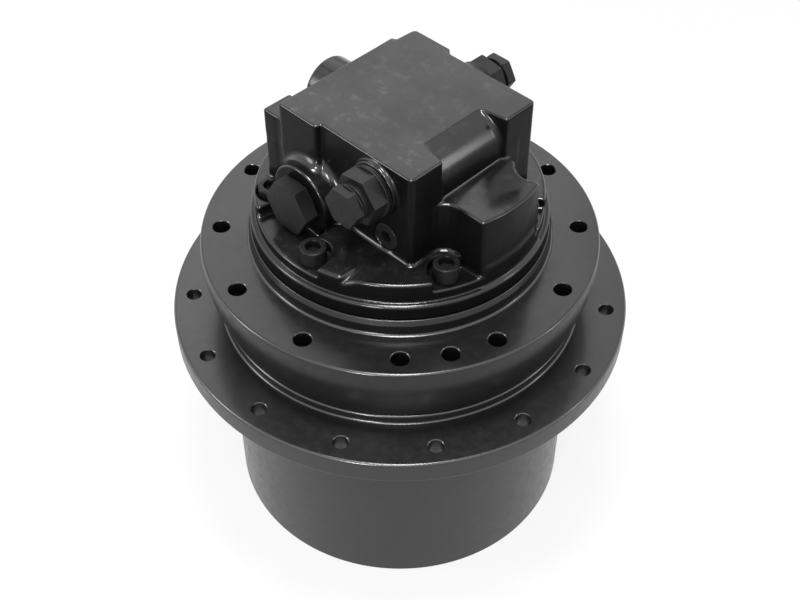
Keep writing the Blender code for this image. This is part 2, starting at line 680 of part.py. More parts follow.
# Spool caps: hexagon plugs that close both ends of the counterbalance bore
CAP_BORE_R = 9.0 * MM
CAP_REACH = 9.0 * MM
for name, place, seat_y in (
    ("spool_cap_front", spool_front, -SPOOL_BOSS_Y[0]), ("spool_cap_rear", spool_rear, SPOOL_BOSS_Y[1]),
):
    shape = solid(name, moved(hexagon(SPOOL_CAP_AF, seat_y + SEAT, seat_y + SPOOL_CAP_H, 0), place))
    boolean(shape, "UNION", moved(rod(SPOOL_BORE_R - SEAT, seat_y - CAP_REACH, seat_y + MM, PEG), place))
    boolean(shape, "DIFFERENCE", moved(rod(CAP_BORE_R, seat_y - CAP_REACH - MM, seat_y + 6 * MM, HOLE), place))
    piece(shape, OXIDE)

# Relief valve cartridges: collar, large and small hexagon on a common stem
RELIEF_HEX_AF = 31.3 * MM
RELIEF_HEX_END = 15.0 * MM
COLLAR_T = 3.7 * MM
RELIEF_COLLAR_R = RELIEF_SEAT_R - 0.7 * MM
RELIEF_NECK_R = 12.0 * MM
RELIEF_NUT_AF = 24.6 * MM
RELIEF_NUT_Y = (20.5 * MM, 27.0 * MM)
for name, place, seat_y in (
    ("relief_valve_front", relief_front, -RELIEF_FRONT_Y), ("relief_valve_rear", relief_rear, RELIEF_REAR_Y),
):
    shape = solid(name, moved(hexagon(RELIEF_HEX_AF, seat_y + COLLAR_T - MM, seat_y + RELIEF_HEX_END), place))
    collar = spun([
        (RELIEF_COLLAR_R, seat_y + SEAT),
        (RELIEF_COLLAR_R, seat_y + COLLAR_T),
    ], MIDDLE)
    boolean(shape, "UNION", moved(collar, place))
    stem = spun([
        (RELIEF_BORE_R - 0.8 * MM, seat_y - RELIEF_BORE_DEPTH + MM),
        (RELIEF_BORE_R - 0.8 * MM, seat_y + MM),
        (RELIEF_NECK_R, seat_y + COLLAR_T),
        (RELIEF_NECK_R, seat_y + RELIEF_NUT_Y[0] + MM),
    ], HOLE)
    boolean(shape, "UNION", moved(stem, place))
    nut = spun([
        (RELIEF_NUT_AF / sqrt(3), seat_y + RELIEF_NUT_Y[0]),
        (RELIEF_NUT_AF / sqrt(3), seat_y + RELIEF_NUT_Y[1] - 0.6 * MM),
        (RELIEF_NUT_AF / sqrt(3) - MM, seat_y + RELIEF_NUT_Y[1]),
    ], BOLT)
    boolean(shape, "UNION", moved(nut, place))
    piece(shape, OXIDE)

# Gallery plug: flush screw plug with hexagon socket
shape = solid("gallery_plug", moved(
    rod(PLUG_R - SEAT, -FRONT_Y - PLUG_DEPTH + SEAT, -FRONT_Y - SEAT, SMALL), plug_front))
boolean(shape, "DIFFERENCE", moved(hexagon(8 * MM, -FRONT_Y - 6 * MM, -FRONT_Y + MM), plug_front))
piece(shape, OXIDE)

# Counterbalance spool: slides along its bore between two centring springs
SPOOL_END = 44.0 * MM
SPOOL_LAND_R = SPOOL_R
SPOOL_NECK_R = 8.0 * MM
lands = [
    (6.5 * MM, -SPOOL_END), (SPOOL_LAND_R, -SPOOL_END), (SPOOL_LAND_R, -24 * MM), (SPOOL_NECK_R, -24 * MM),
    (SPOOL_NECK_R, -9 * MM), (SPOOL_LAND_R, -9 * MM), (SPOOL_LAND_R, 9 * MM), (SPOOL_NECK_R, 9 * MM),
    (SPOOL_NECK_R, 24 * MM), (SPOOL_LAND_R, 24 * MM), (SPOOL_LAND_R, SPOOL_END), (6.5 * MM, SPOOL_END),
]
spool_origin = (SPOOL_X, 0.0, SPOOL_Z)
shape = solid("counterbalance_spool", moved(spun(lands, PEG), spool_front))
piece(shape, GROUND, body("spool_axis", spool_origin), spool_origin)
for name, place, seat_y in (
    ("spool_spring_front", spool_front, -SPOOL_BOSS_Y[0]), ("spool_spring_rear", spool_rear, SPOOL_BOSS_Y[1]),
):
    shape = solid(name, moved(coil(6.6 * MM, MM, 4, SPOOL_END + SEAT, seat_y + 5.5 * MM), place))
    piece(shape, SPRING)

# Pin plate: holds the lower bearing cone and the three pins of the second stage on the spindle end
shape = solid("pin_plate", washer(PIN_PLATE_BORE_R, PIN_PLATE_R, *PIN_PLATE_Z, MEDIUM))
boolean(shape, "DIFFERENCE", group(*[
    moved(rod(PIN_2_R + SEAT, PIN_PLATE_Z[0] - MM, PIN_PLATE_Z[1] + MM, PEG), around(CENTRE_2, a))
    for a in STAGE_2_ANGLES
]))
piece(shape, GEAR_STEEL)
PIN_UNDER_Z = PLANET_2_Z[0] - SEAT
PIN_2_SECTION = [
    (PIN_2_R + PIN_HEAD, PIN_UNDER_Z - PIN_HEAD_H), (PIN_2_R + PIN_HEAD, PIN_UNDER_Z), (PIN_2_R, PIN_UNDER_Z),
    (PIN_2_R, PIN_PLATE_Z[1]), (PIN_2_END_R, PIN_PLATE_Z[1]), (PIN_2_END_R, PIN_2_TOP_Z),
]
for letter, angle in zip("abc", STAGE_2_ANGLES):
    piece(solid("planet_2_pin_" + letter, moved(spun(PIN_2_SECTION, PEG), around(CENTRE_2, angle))), GROUND)


def planet(name, angle, count, centre, pin_r, height, parent):
    """Planet gear on its pin, meshing with sun and ring gear."""
    place = around(centre, angle)
    pivot = (place.translation.x, place.translation.y, height[0])
    spot = at(pivot[0], pivot[1])
    made = solid(name, moved(prism(gear_outline(count, planet_phase(angle, count)), *height), spot))
    boolean(made, "DIFFERENCE", moved(rod(pin_r + BUSH_GAP, height[0] - MM, height[1] + MM, PEG), spot))
    return piece(made, GEAR_STEEL, body(name + "_axis", pivot, parent), pivot)


for letter, angle in zip("abc", STAGE_2_ANGLES):
    planet("planet_2" + letter, angle, PLANET_2_TEETH, CENTRE_2, PIN_2_R, PLANET_2_Z, None)
for letter, angle in zip("abc", STAGE_1_ANGLES):
    planet("planet_1" + letter, angle, PLANET_1_TEETH, CENTRE_1, PIN_1_R, PLANET_1_Z, carrier_body)

# First carrier: plate forged with its three planet posts; the second sun is splined in its bore
CARRIER_BORE_R = 22.0 * MM
shape = solid("carrier_1", washer(CARRIER_BORE_R, CARRIER_1_R, *CARRIER_1_Z, MEDIUM))
boolean(shape, "UNION", group(*[
    moved(rod(PIN_1_R, PLANET_1_Z[0], CARRIER_1_Z[0] + MM, PEG), around(CENTRE_1, a)) for a in STAGE_1_ANGLES
]))
piece(shape, GEAR_STEEL, carrier_body)
SUN_2_BOTTOM_Z = PLANET_2_Z[0] - 3 * MM
SUN_2_BORE_R = 14.5 * MM
phase = sun_phase(STAGE_2_ANGLES[0], PLANET_2_TEETH, SUN_2_TEETH)
shape = solid("sun_2", prism(gear_outline(SUN_2_TEETH, phase), SUN_2_BOTTOM_Z, PLANET_2_Z[1] + MM))
boolean(shape, "UNION", rod(CARRIER_BORE_R - SEAT, CARRIER_1_Z[0] + MM, SUN_2_BOTTOM_Z + MM, MEDIUM))
boolean(shape, "DIFFERENCE", rod(SUN_2_BORE_R, CARRIER_1_Z[0] - MM, PLANET_2_Z[1] + 2 * MM, SMALL))
piece(shape, GEAR_STEEL, carrier_body)

# Drive shaft of the first sun and motor shaft, joined by splines
SPLINE_TOP_Z = SHAFT_Z[0] + 17.0 * MM
phase = sun_phase(STAGE_1_ANGLES[0], PLANET_1_TEETH, SUN_1_TEETH)
shape = solid("sun_1", prism(gear_outline(SUN_1_TEETH, phase), PLANET_1_Z[0] - MM, PLANET_1_Z[1] + 0.5 * MM))
boolean(shape, "UNION", rod(SUN_SHAFT_R, PLANET_1_Z[1] - MM, SPLINE_TOP_Z - SEAT, SMALL))
piece(shape, GEAR_STEEL, motor_body)
shape = solid("motor_shaft", spun([
    (SUN_SHAFT_R + SEAT, SPLINE_TOP_Z), (SUN_SHAFT_R + SEAT, SHAFT_Z[0]), (SHAFT_R, SHAFT_Z[0]),
    (SHAFT_R, SHAFT_Z[1]), (SHAFT_END_R, SHAFT_Z[1]), (SHAFT_END_R, SHAFT_Z[2]),
], SMALL))
piece(shape, GROUND, motor_body)

# Rotating group: cylinder block, pistons with slippers, retainer and friction discs
piston_places = [around(PISTON_PITCH_R, 360 * k / PISTONS) for k in range(PISTONS)]
shape = solid("cylinder_block", washer(SHAFT_R + SEAT, BLOCK_R, *BLOCK_Z, MIDDLE))
boolean(shape, "DIFFERENCE", group(*[
    moved(rod(PISTON_R + SEAT, BLOCK_Z[0] - MM, BLOCK_Z[1] + MM, BOLT), place) for place in piston_places
]))
piece(shape, GEAR_STEEL, motor_body)
slipper_z = SWASH_TOP_Z + SEAT
SLIPPER_H = 4.5 * MM
RETAINER_Z = (slipper_z + 4.0 * MM, slipper_z + 7.0 * MM)
shape = solid("piston_set", washer(SHAFT_R + 4 * MM, BLOCK_R - 4 * MM, *RETAINER_Z, MIDDLE))
boolean(shape, "UNION", group(*[
    moved(spun([
        (SLIPPER_R, slipper_z), (SLIPPER_R, slipper_z + SLIPPER_H), (PISTON_NECK_R, slipper_z + SLIPPER_H),
        (PISTON_R, slipper_z + 13 * MM), (PISTON_R, PISTON_TOP_Z),
    ], BOLT), place) for place in piston_places
]))
piece(shape, GROUND, motor_body)
DISC_T = 3.0 * MM
LINING_GAP = 4.5 * MM
PLATE_GAP = 3.0 * MM
PLATE_R = MOTOR_BORE_R - 2 * SEAT
PLATE_BORE_R = BLOCK_R + PLATE_GAP
DISC_PITCH = DISC_T + SEAT
STACK_Z = BRAKE_STEP_Z + SEAT
PRESS_Z = STACK_Z + 4 * DISC_PITCH
for number in (1, 2):
    low = STACK_Z + (2 * number - 2) * DISC_PITCH
    piece(solid("brake_plate_%d" % number, washer(PLATE_BORE_R, PLATE_R, low, low + DISC_T, MIDDLE)), MACHINED)
    low += DISC_PITCH
    shape = solid("friction_disc_%d" % number, washer(BLOCK_R + SEAT, MOTOR_BORE_R - LINING_GAP, low, low + DISC_T, MIDDLE))
    piece(shape, FRICTION, motor_body)

# Fixed parts of the motor: swash plate, valve plate, shaft bearings and lip seal
shape = solid("swash_plate", washer(FRONT_BEARING_R + 4 * MM, SWASH_BORE_R - 3 * MM, MOTOR_FLOOR_Z + SEAT, SWASH_TOP_Z, MIDDLE))
piece(shape, GROUND)
shape = solid("valve_plate", washer(14 * MM, 46 * MM, BLOCK_Z[1] + SEAT, REAR_BEARING_Z[0] - SEAT, MIDDLE))
piece(shape, BRONZE)
shape = solid("shaft_bearing_front", washer(
    SHAFT_R + SEAT * 3, FRONT_BEARING_R - SEAT, FRONT_BEARING_Z + SEAT, MOTOR_FLOOR_Z - SEAT, MIDDLE))
piece(shape, GROUND)
shape = solid("shaft_bearing_rear", washer(
    SHAFT_END_R + SEAT * 3, REAR_BEARING_R - SEAT, REAR_BEARING_Z[0] + 2 * MM, REAR_BEARING_Z[1] - SEAT, MIDDLE))
piece(shape, GROUND)
shape = solid("shaft_seal", washer(
    SHAFT_R + SEAT * 3, LIP_SEAL_R - SEAT, RECESS_TOP_Z + SEAT, FRONT_BEARING_Z - SEAT, MIDDLE))
piece(shape, RUBBER)

# Parking brake: annular piston pushed on the plates by a disc spring
shape = solid("brake_piston", ring([
    (PLATE_BORE_R + 3 * MM, PRESS_Z), (PLATE_R - 3.4 * MM, PRESS_Z), (PLATE_R, PRESS_Z + 5 * MM),
    (PLATE_R, BRAKE_TOP_Z), (PLATE_BORE_R, BRAKE_TOP_Z), (PLATE_BORE_R, PRESS_Z + 5 * MM),
], MIDDLE))
piece(shape, MACHINED, body("brake_axis"))
SPRING_Z = (BRAKE_TOP_Z + SEAT, JOINT_Z - SEAT)
SPRING_T = 2.2 * MM
SPRING_IN_R = PLATE_BORE_R + 0.5 * MM
SPRING_OUT_R = MOTOR_BORE_R - 2 * MM
shape = solid("brake_spring", ring([
    (SPRING_IN_R, SPRING_Z[1] - SPRING_T), (SPRING_OUT_R, SPRING_Z[0]),
    (SPRING_OUT_R, SPRING_Z[0] + SPRING_T), (SPRING_IN_R, SPRING_Z[1]),
], MIDDLE))
piece(shape, SPRING)

# Hub housing: drum, sprocket flange, collar, ring gear, bearing bores and cover bore
shape = solid("hub_housing", ring([
    (DRUM_R - 2.5 * MM, 0), (DRUM_R, 2.5 * MM), (DRUM_R, SPROCKET_Z - 3.5 * MM), (DRUM_R + 3.5 * MM, SPROCKET_Z),
    (SPROCKET_R - EDGE, SPROCKET_Z), (SPROCKET_R, SPROCKET_Z + EDGE),
    (SPROCKET_R, SPROCKET_TOP_Z - EDGE), (SPROCKET_R - EDGE, SPROCKET_TOP_Z),
    (DRUM_R + MM, SPROCKET_TOP_Z), (COLLAR_R, COLLAR_TOP_Z - MM), (COLLAR_R - MM, COLLAR_TOP_Z),
    (SEAL_SEAT_R, COLLAR_TOP_Z), (SEAL_SEAT_R, SEAL_FLOOR_Z), (BEARING_BORE_R, SEAL_FLOOR_Z),
    (BEARING_BORE_R, RIDGE_Z[1]), (RIDGE_R, RIDGE_Z[1]), (RIDGE_R, RIDGE_Z[0]), (BEARING_BORE_R, RIDGE_Z[0]),
    (BEARING_BORE_R, RELIEF_TOP_Z), (RING_RELIEF_R, RELIEF_TOP_Z), (RING_RELIEF_R, RING_Z[1]),
    (RING_TIP_R, RING_Z[1]), (RING_TIP_R, RING_Z[0]), (RING_RELIEF_R, RING_Z[0]), (RING_RELIEF_R, COVER_STEP_Z),
    (COVER_BORE_R, COVER_STEP_Z), (COVER_BORE_R, GROOVE_Z[1]), (GROOVE_R, GROOVE_Z[1]),
    (GROOVE_R, GROOVE_Z[0]), (COVER_BORE_R, GROOVE_Z[0]), (COVER_BORE_R, 0),
], LARGE))
ring_pitch_r = MODULE * RING_TEETH / 2
spaces = teeth(RING_TEETH, THINNING / 2, RING_TIP_R - MM, ring_pitch_r + DEDENDUM, 0)
boolean(shape, "DIFFERENCE", prism(spaces, RING_Z[0] - MM, RING_Z[1] + 2 * MM))
boolean(shape, "DIFFERENCE", group(*[
    moved(rod(SPROCKET_HOLE_R, SPROCKET_Z - MM, SPROCKET_TOP_Z + MM, HOLE), around(SPROCKET_PITCH_R, a))
    for a in SPROCKET_ANGLES
]))
piece(shape, PAINT, hub_body)

# Gearbox end: recessed cover, retaining ring, screw plugs and thrust pad
PLUG_SPOTS = [around(58 * MM, a) for a in (90, 270)]
END_FACE_Z = GROOVE_Z[1] + 1.7 * MM
DISH_R = COVER_BORE_R - 22.3 * MM
shape = solid("end_cover", spun([
    (DISH_R, END_FACE_Z), (DISH_R + 4 * MM, GROOVE_Z[1] + SEAT), (COVER_BORE_R - SEAT, GROOVE_Z[1] + SEAT),
    (COVER_BORE_R - SEAT, COVER_STEP_Z - SEAT),
], LARGE))
END_PLUG_R = 9.0 * MM
boolean(shape, "DIFFERENCE", group(*[moved(rod(END_PLUG_R, 0, 20 * MM, PEG), spot) for spot in PLUG_SPOTS]))
piece(shape, PAINT, hub_body)
for name, spot in zip(("fill_plug", "level_plug"), PLUG_SPOTS):
    shape = solid(name, moved(rod(END_PLUG_R - SEAT, END_FACE_Z - 2 * MM, COVER_STEP_Z - SEAT, PEG), spot))
    boolean(shape, "DIFFERENCE", moved(hexagon(SOCKET_AF, 0, END_FACE_Z + 3.5 * MM), spot))
    piece(shape, OXIDE, hub_body)
shape = solid("thrust_pad", rod(13 * MM, COVER_STEP_Z, PLANET_1_Z[0] - 1.6 * MM, SMALL))
piece(shape, BRONZE, hub_body)
clip_in = []
clip_out = []
CLIP_STEPS = 26
CLIP_W = 9.1 * MM
CLIP_OUT_R = GROOVE_R - 0.9 * MM
CLIP_IN_R = CLIP_OUT_R - CLIP_W
for k in range(CLIP_STEPS + 1):
    angle = radians(6 + 348 * k / CLIP_STEPS)
    clip_in.append((CLIP_IN_R * cos(angle), CLIP_IN_R * sin(angle)))
    clip_out.append((CLIP_OUT_R * cos(angle), CLIP_OUT_R * sin(angle)))
shape = solid("retaining_ring", prism(clip_out + clip_in[::-1], GROOVE_Z[0] + SEAT, GROOVE_Z[1] - SEAT))
piece(shape, SPRING, hub_body)

# Main tapered roller bearings, back to back against the ridge of the hub
RACE_T = (4.0 * MM, 4.9 * MM)
RACE_RISE = 1.8 * MM
ROLLER_PLAY = 0.38 * MM
CAGE_T = 1.4 * MM
RACE_IN = (BEARING_SEAT_R + RACE_T[0], BEARING_SEAT_R + RACE_T[0] + RACE_RISE)
RACE_OUT = (BEARING_BORE_R - RACE_T[1], BEARING_BORE_R - RACE_T[1] + RACE_RISE)
ROLLER_R = (RACE_OUT[0] * cos(pi / MEDIUM) - RACE_IN[0]) / 2 - ROLLER_PLAY
CUP_R = BEARING_BORE_R * cos(pi / LARGE) - SEAT / 2
CONE_R = (BEARING_SEAT_R + SEAT / 2) / cos(pi / MEDIUM)


def main_bearing(suffix, inner_z, outer_z, flip):
    """Cone on the spindle, cup in the hub and rollers in their cage between them, from thick cup end outward."""
    cone = [(CONE_R, inner_z[0]), (RACE_IN[0], inner_z[0]), (RACE_IN[1], inner_z[1]), (CONE_R, inner_z[1])]
    cup = [(RACE_OUT[0], outer_z[0]), (CUP_R, outer_z[0]), (CUP_R, outer_z[1]), (RACE_OUT[1], outer_z[1])]
    piece(solid("bearing_cone_" + suffix, ring(cone, MEDIUM)), GROUND)
    piece(solid("bearing_cup_" + suffix, ring(cup, MEDIUM)), GROUND, hub_body)
    ends = (outer_z[0] + 2 * MM * flip, outer_z[1] - 1.5 * MM * flip)
    rows = []
    for end in range(2):
        mean = (RACE_IN[end] + RACE_OUT[end] * cos(pi / MEDIUM)) / 2
        for side in (1, -1):
            row = []
            for k in range(ROLLERS):
                turn = 2 * pi * k / ROLLERS
                half = ROLLER_R / mean
                for reach, off in ((CAGE_T / 2, -1.6), (ROLLER_R * 0.7, -0.7), (ROLLER_R, 0), (ROLLER_R * 0.7, 0.7),
                                   (CAGE_T / 2, 1.6)):
                    radius = mean + side * reach
                    row.append((radius * cos(turn + off * half), radius * sin(turn + off * half), ends[end]))
            rows.append(row)
    count = len(rows[0])
    vertices = [point for row in (rows[0], rows[2], rows[3], rows[1]) for point in row]
    faces = [
        (a * count + k, a * count + (k + 1) % count, b * count + (k + 1) % count, b * count + k)
        for a, b in ((0, 1), (1, 2), (2, 3), (3, 0)) for k in range(count)
    ]
    piece(solid("rollers_" + suffix, (vertices, faces)), GROUND, body("rollers_" + suffix + "_axis"))


main_bearing("lower", (RIDGE_Z[0] - MM, SPINDLE_END_Z - SEAT), (RIDGE_Z[0] - SEAT, SPINDLE_END_Z + 1.4 * MM), -1)
main_bearing("upper", (RIDGE_Z[1] + MM, SHOULDER_Z - SEAT), (RIDGE_Z[1] + SEAT, SHOULDER_Z - 2 * MM), 1)

# Floating face seal: two lapped metal rings, each carried by a rubber ring
TORIC_ROOM = 6.3 * MM
METAL_W = 9.5 * MM
METAL_TAPER = 3.0 * MM
METAL_OUT_R = SEAL_SEAT_R - TORIC_ROOM
METAL_IN_R = METAL_OUT_R - METAL_W
TORIC_OFFSET = 5.5 * MM
shape = solid("seal_ring_lower", ring([
    (METAL_IN_R, SEAL_FLOOR_Z + 2 * MM), (METAL_OUT_R - METAL_TAPER, SEAL_FLOOR_Z + 2 * MM),
    (METAL_OUT_R, SEAL_FACE_Z), (METAL_IN_R, SEAL_FACE_Z),
], MEDIUM))
piece(shape, GROUND, hub_body)
shape = solid("seal_ring_upper", ring([
    (METAL_IN_R, SEAL_FACE_Z + SEAT), (METAL_OUT_R, SEAL_FACE_Z + SEAT),
    (METAL_OUT_R - METAL_TAPER, SEAL_ROOF_Z - 2 * MM), (METAL_IN_R, SEAL_ROOF_Z - 2 * MM),
], MEDIUM))
piece(shape, GROUND)


def toric(z):
    """Rubber ring between metal ring and seat."""
    inner = METAL_OUT_R - METAL_TAPER * TORIC_OFFSET / (SEAL_FACE_Z - SEAL_FLOOR_Z - 2 * MM) + SEAT
    outer = SEAL_SEAT_R * cos(pi / LARGE) - SEAT / 2
    middle = (inner + outer) / 2
    return ring([(middle, z - 3 * MM), (outer, z), (middle, z + 3 * MM), (inner, z)], MEDIUM)


piece(solid("toric_lower", toric(SEAL_FACE_Z - TORIC_OFFSET)), RUBBER, hub_body)
piece(solid("toric_upper", toric(SEAL_FACE_Z + TORIC_OFFSET)), RUBBER)
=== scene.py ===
import json
from math import acos, ceil, cos, hypot, pi, radians, sin, sqrt, tan

import bmesh
import bpy
import numpy as np
from mathutils import Matrix, Vector


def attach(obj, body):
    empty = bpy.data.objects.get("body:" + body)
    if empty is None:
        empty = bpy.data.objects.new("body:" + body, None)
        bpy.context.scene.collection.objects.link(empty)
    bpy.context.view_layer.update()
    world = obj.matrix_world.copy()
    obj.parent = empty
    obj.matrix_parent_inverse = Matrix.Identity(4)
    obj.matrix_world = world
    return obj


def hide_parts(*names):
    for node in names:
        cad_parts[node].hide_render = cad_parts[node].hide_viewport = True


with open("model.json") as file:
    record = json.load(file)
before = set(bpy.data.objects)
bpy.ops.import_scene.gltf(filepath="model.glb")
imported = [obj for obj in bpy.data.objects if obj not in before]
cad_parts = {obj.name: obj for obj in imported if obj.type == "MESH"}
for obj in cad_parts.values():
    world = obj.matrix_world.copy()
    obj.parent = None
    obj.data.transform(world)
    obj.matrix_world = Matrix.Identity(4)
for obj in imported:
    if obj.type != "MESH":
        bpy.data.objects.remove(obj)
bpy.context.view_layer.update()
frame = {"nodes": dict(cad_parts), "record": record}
nodes = frame["nodes"]

# Studio: a pale floor that keeps a faint shadow, an even white sky, and a camera that looks down on the valve
# side at 45 degrees. Two soft boxes hang overhead, four stand behind, at the right, at the left and in front.
FOCAL_LENGTH = 57.97
SENSOR_WIDTH = 36.0
CAMERA_SPOT = (0.4759, -0.4759, 0.8379)
CAMERA_TILT = 44.88
CAMERA_TURN = 45.0
LAMP_AIM = (0.0, 0.0, 0.2)
SKY_LIGHT = 0.45
SKY_SEEN = 1.0
FLOOR_HALF = 6.0
FLOOR_GREY = 0.86
FLOOR_GLOW = 0.85
scene = bpy.context.scene
scene.view_settings.view_transform = "Standard"
lens = bpy.data.cameras.new("studio_lens")
lens.lens = FOCAL_LENGTH
lens.sensor_width = SENSOR_WIDTH
camera = bpy.data.objects.new("studio_camera", lens)
camera.location = CAMERA_SPOT
camera.rotation_euler = (radians(CAMERA_TILT), 0.0, radians(CAMERA_TURN))
scene.collection.objects.link(camera)
scene.camera = camera


def soft_box(name, spot, width, height, watts):
    """Rectangular lamp that points at the middle of the drive."""
    lamp = bpy.data.lights.new(name, "AREA")
    lamp.shape = "RECTANGLE"
    lamp.size = width
    lamp.size_y = height
    lamp.energy = watts
    made = bpy.data.objects.new(name, lamp)
    made.location = spot
    aim = Vector(LAMP_AIM) - Vector(spot)
    made.rotation_euler = aim.to_track_quat("-Z", "Y").to_euler()
    scene.collection.objects.link(made)


soft_box("overhead_box", (0.10, -0.10, 1.75), 0.34, 0.34, 16.0)
soft_box("rear_box", (-0.95, 0.75, 1.35), 1.1, 0.9, 4.0)
soft_box("right_rear_box", (1.25, 0.85, 0.75), 0.14, 0.6, 1.4)
soft_box("left_box", (-0.95, -1.25, 0.9), 0.4, 0.9, 6.0)
soft_box("front_box", (0.82, -1.55, 0.72), 0.30, 0.30, 11.0)
soft_box("key_box", (0.66, -0.66, 1.70), 0.45, 0.30, 9.0)


def seen_rays(tree):
    """Socket that is 1 for rays that show the backdrop: from the camera, a gloss or a glass."""
    path = tree.nodes.new("ShaderNodeLightPath")
    first = tree.nodes.new("ShaderNodeMath")
    first.operation = "MAXIMUM"
    second = tree.nodes.new("ShaderNodeMath")
    second.operation = "MAXIMUM"
    tree.links.new(path.outputs["Is Camera Ray"], first.inputs[0])
    tree.links.new(path.outputs["Is Glossy Ray"], first.inputs[1])
    tree.links.new(first.outputs[0], second.inputs[0])
    tree.links.new(path.outputs["Is Transmission Ray"], second.inputs[1])
    return second.outputs[0]


sky = bpy.data.worlds.new("studio_sky")
sky.use_nodes = True
scene.world = sky
tree = sky.node_tree
backdrop = tree.nodes["Background"]
backdrop.inputs["Color"].default_value = (1.0, 1.0, 1.0, 1.0)
level = tree.nodes.new("ShaderNodeMapRange")
level.inputs["To Min"].default_value = SKY_LIGHT
level.inputs["To Max"].default_value = SKY_SEEN
tree.links.new(seen_rays(tree), level.inputs["Value"])
tree.links.new(level.outputs["Result"], backdrop.inputs["Strength"])

floor_corners = [(u * FLOOR_HALF, v * FLOOR_HALF, 0) for u, v in ((-1, -1), (1, -1), (1, 1), (-1, 1))]
floor_mesh = bpy.data.meshes.new("floor")
floor_mesh.from_pydata(floor_corners, [], [(0, 1, 2, 3)])
floor = bpy.data.objects.new("floor", floor_mesh)
scene.collection.objects.link(floor)
floor_paint = bpy.data.materials.new("studio_floor")
floor_paint.use_nodes = True
tree = floor_paint.node_tree
shader = tree.nodes["Principled BSDF"]
shader.inputs["Base Color"].default_value = (FLOOR_GREY, FLOOR_GREY, FLOOR_GREY, 1.0)
shader.inputs["Roughness"].default_value = 0.9
glow = tree.nodes.new("ShaderNodeEmission")
mix = tree.nodes.new("ShaderNodeMixShader")
share = tree.nodes.new("ShaderNodeMath")
share.operation = "MULTIPLY"
share.inputs[1].default_value = FLOOR_GLOW
tree.links.new(seen_rays(tree), share.inputs[0])
tree.links.new(share.outputs[0], mix.inputs["Fac"])
tree.links.new(shader.outputs[0], mix.inputs[1])
tree.links.new(glow.outputs[0], mix.inputs[2])
tree.links.new(mix.outputs[0], tree.nodes["Material Output"].inputs["Surface"])
floor_mesh.materials.append(floor_paint)

# Hub casting: ductile iron drum with the sprocket flange, the seal collar and the ring gear, turned all over,
# broached inside, drilled with fifteen sprocket holes and painted black. It turns round the spindle.
MM = 0.001
SPROCKET_Z = (159.0, 176.0)
SPROCKET_CIRCLE_R = 150.0
SPROCKET_HOLE_R = 5.25
SPROCKET_ANGLES = [-36 + 24 * k for k in range(15)]
RING_TEETH = 45
GEAR_MODULE = 4.8
PRESSURE = radians(25)
BACKLASH = 0.125
RING_PITCH_R = GEAR_MODULE * RING_TEETH / 2
RING_ROOT_R = RING_PITCH_R + 1.15 * GEAR_MODULE
BROACH_INNER_R = 102.7
RING_Z = (18.0, 92.0)
ROUND = 192
HOLE_ROUND = 40
ARC_STEP = 18.0
HUB_SECTION = [
    (116.3, 0.0, 0.4), (126.6, 0.0, 0.8), (128.0, 1.6, 1.0), (128.0, 159.0, 3.5), (164.5, 159.0, 1.3),
    (164.5, 176.0, 1.9), (129.4, 176.0, 1.6), (129.4, 183.0, 1.8), (114.3, 183.0, 0.5), (114.3, 172.0, 0.8),
    (103.7, 172.0, 0.4), (103.7, 148.0, 0.3), (98.0, 148.0, 0.3), (98.0, 130.0, 0.3), (103.7, 130.0, 0.3),
    (103.7, 96.0, 0.4), (114.3, 96.0, 0.4), (114.3, 92.0, 0.4), (103.68, 92.0, 0.4), (103.68, 18.0, 0.4),
    (114.3, 18.0, 0.4), (114.3, 16.0, 0.2), (116.3, 16.0, 0.4), (116.3, 6.3, 0.2), (120.0, 6.3, 0.2),
    (120.0, 3.0, 0.2), (116.3, 3.0, 0.2),
]


def rolled(corners):
    """Closed outline whose corners (u, v, radius) are replaced by arcs with a point every few degrees."""
    points = []
    count = len(corners)
    for k, (u, v, radius) in enumerate(corners):
        if radius == 0:
            points.append((u, v))
            continue
        here = Vector((u, v))
        back = (Vector(corners[k - 1][:2]) - here).normalized()
        ahead = (Vector(corners[(k + 1) % count][:2]) - here).normalized()
        turn = pi - acos(max(-1.0, min(1.0, back.dot(ahead))))
        if turn < radians(2):
            points.append((u, v))
            continue
        reach = radius * tan(turn / 2)
        centre = here + (back + ahead).normalized() * hypot(radius, reach)
        start = here + back * reach - centre
        side = 1 if back.x * ahead.y - back.y * ahead.x < 0 else -1
        parts = max(1, ceil(turn / radians(ARC_STEP)))
        for m in range(parts + 1):
            angle = side * turn * m / parts
            points.append((
                centre.x + start.x * cos(angle) - start.y * sin(angle),
                centre.y + start.x * sin(angle) + start.y * cos(angle),
            ))
    return points


def mesh_object(name, vertices, faces):
    """Object from a closed shell given in millimetres, faces outward."""
    mesh = bpy.data.meshes.new(name)
    mesh.from_pydata([(x * MM, y * MM, z * MM) for x, y, z in vertices], [], faces)
    shell = bmesh.new()
    shell.from_mesh(mesh)
    bmesh.ops.recalc_face_normals(shell, faces=shell.faces)
    shell.to_mesh(mesh)
    shell.free()
    made = bpy.data.objects.new(name, mesh)
    scene.collection.objects.link(made)
    return made


def turned(name, section, steps, closed=True, place=Matrix()):
    """Lathe piece: section of (radius, height) points about the axis, a ring where closed, else capped."""
    count = len(section)
    vertices = []
    for radius, z in section:
        for k in range(steps):
            angle = 2 * pi * k / steps
            vertices.append(tuple(place @ Vector((radius * cos(angle), radius * sin(angle), z))))
    faces = []
    for row in range(count if closed else count - 1):
        low = row * steps
        high = (row + 1) % count * steps
        for k in range(steps):
            m = (k + 1) % steps
            faces.append((low + k, low + m, high + m, high + k))
    if not closed:
        faces.append(tuple(range(steps)))
        faces.append(tuple(range((count - 1) * steps, count * steps)))
    return mesh_object(name, vertices, faces)


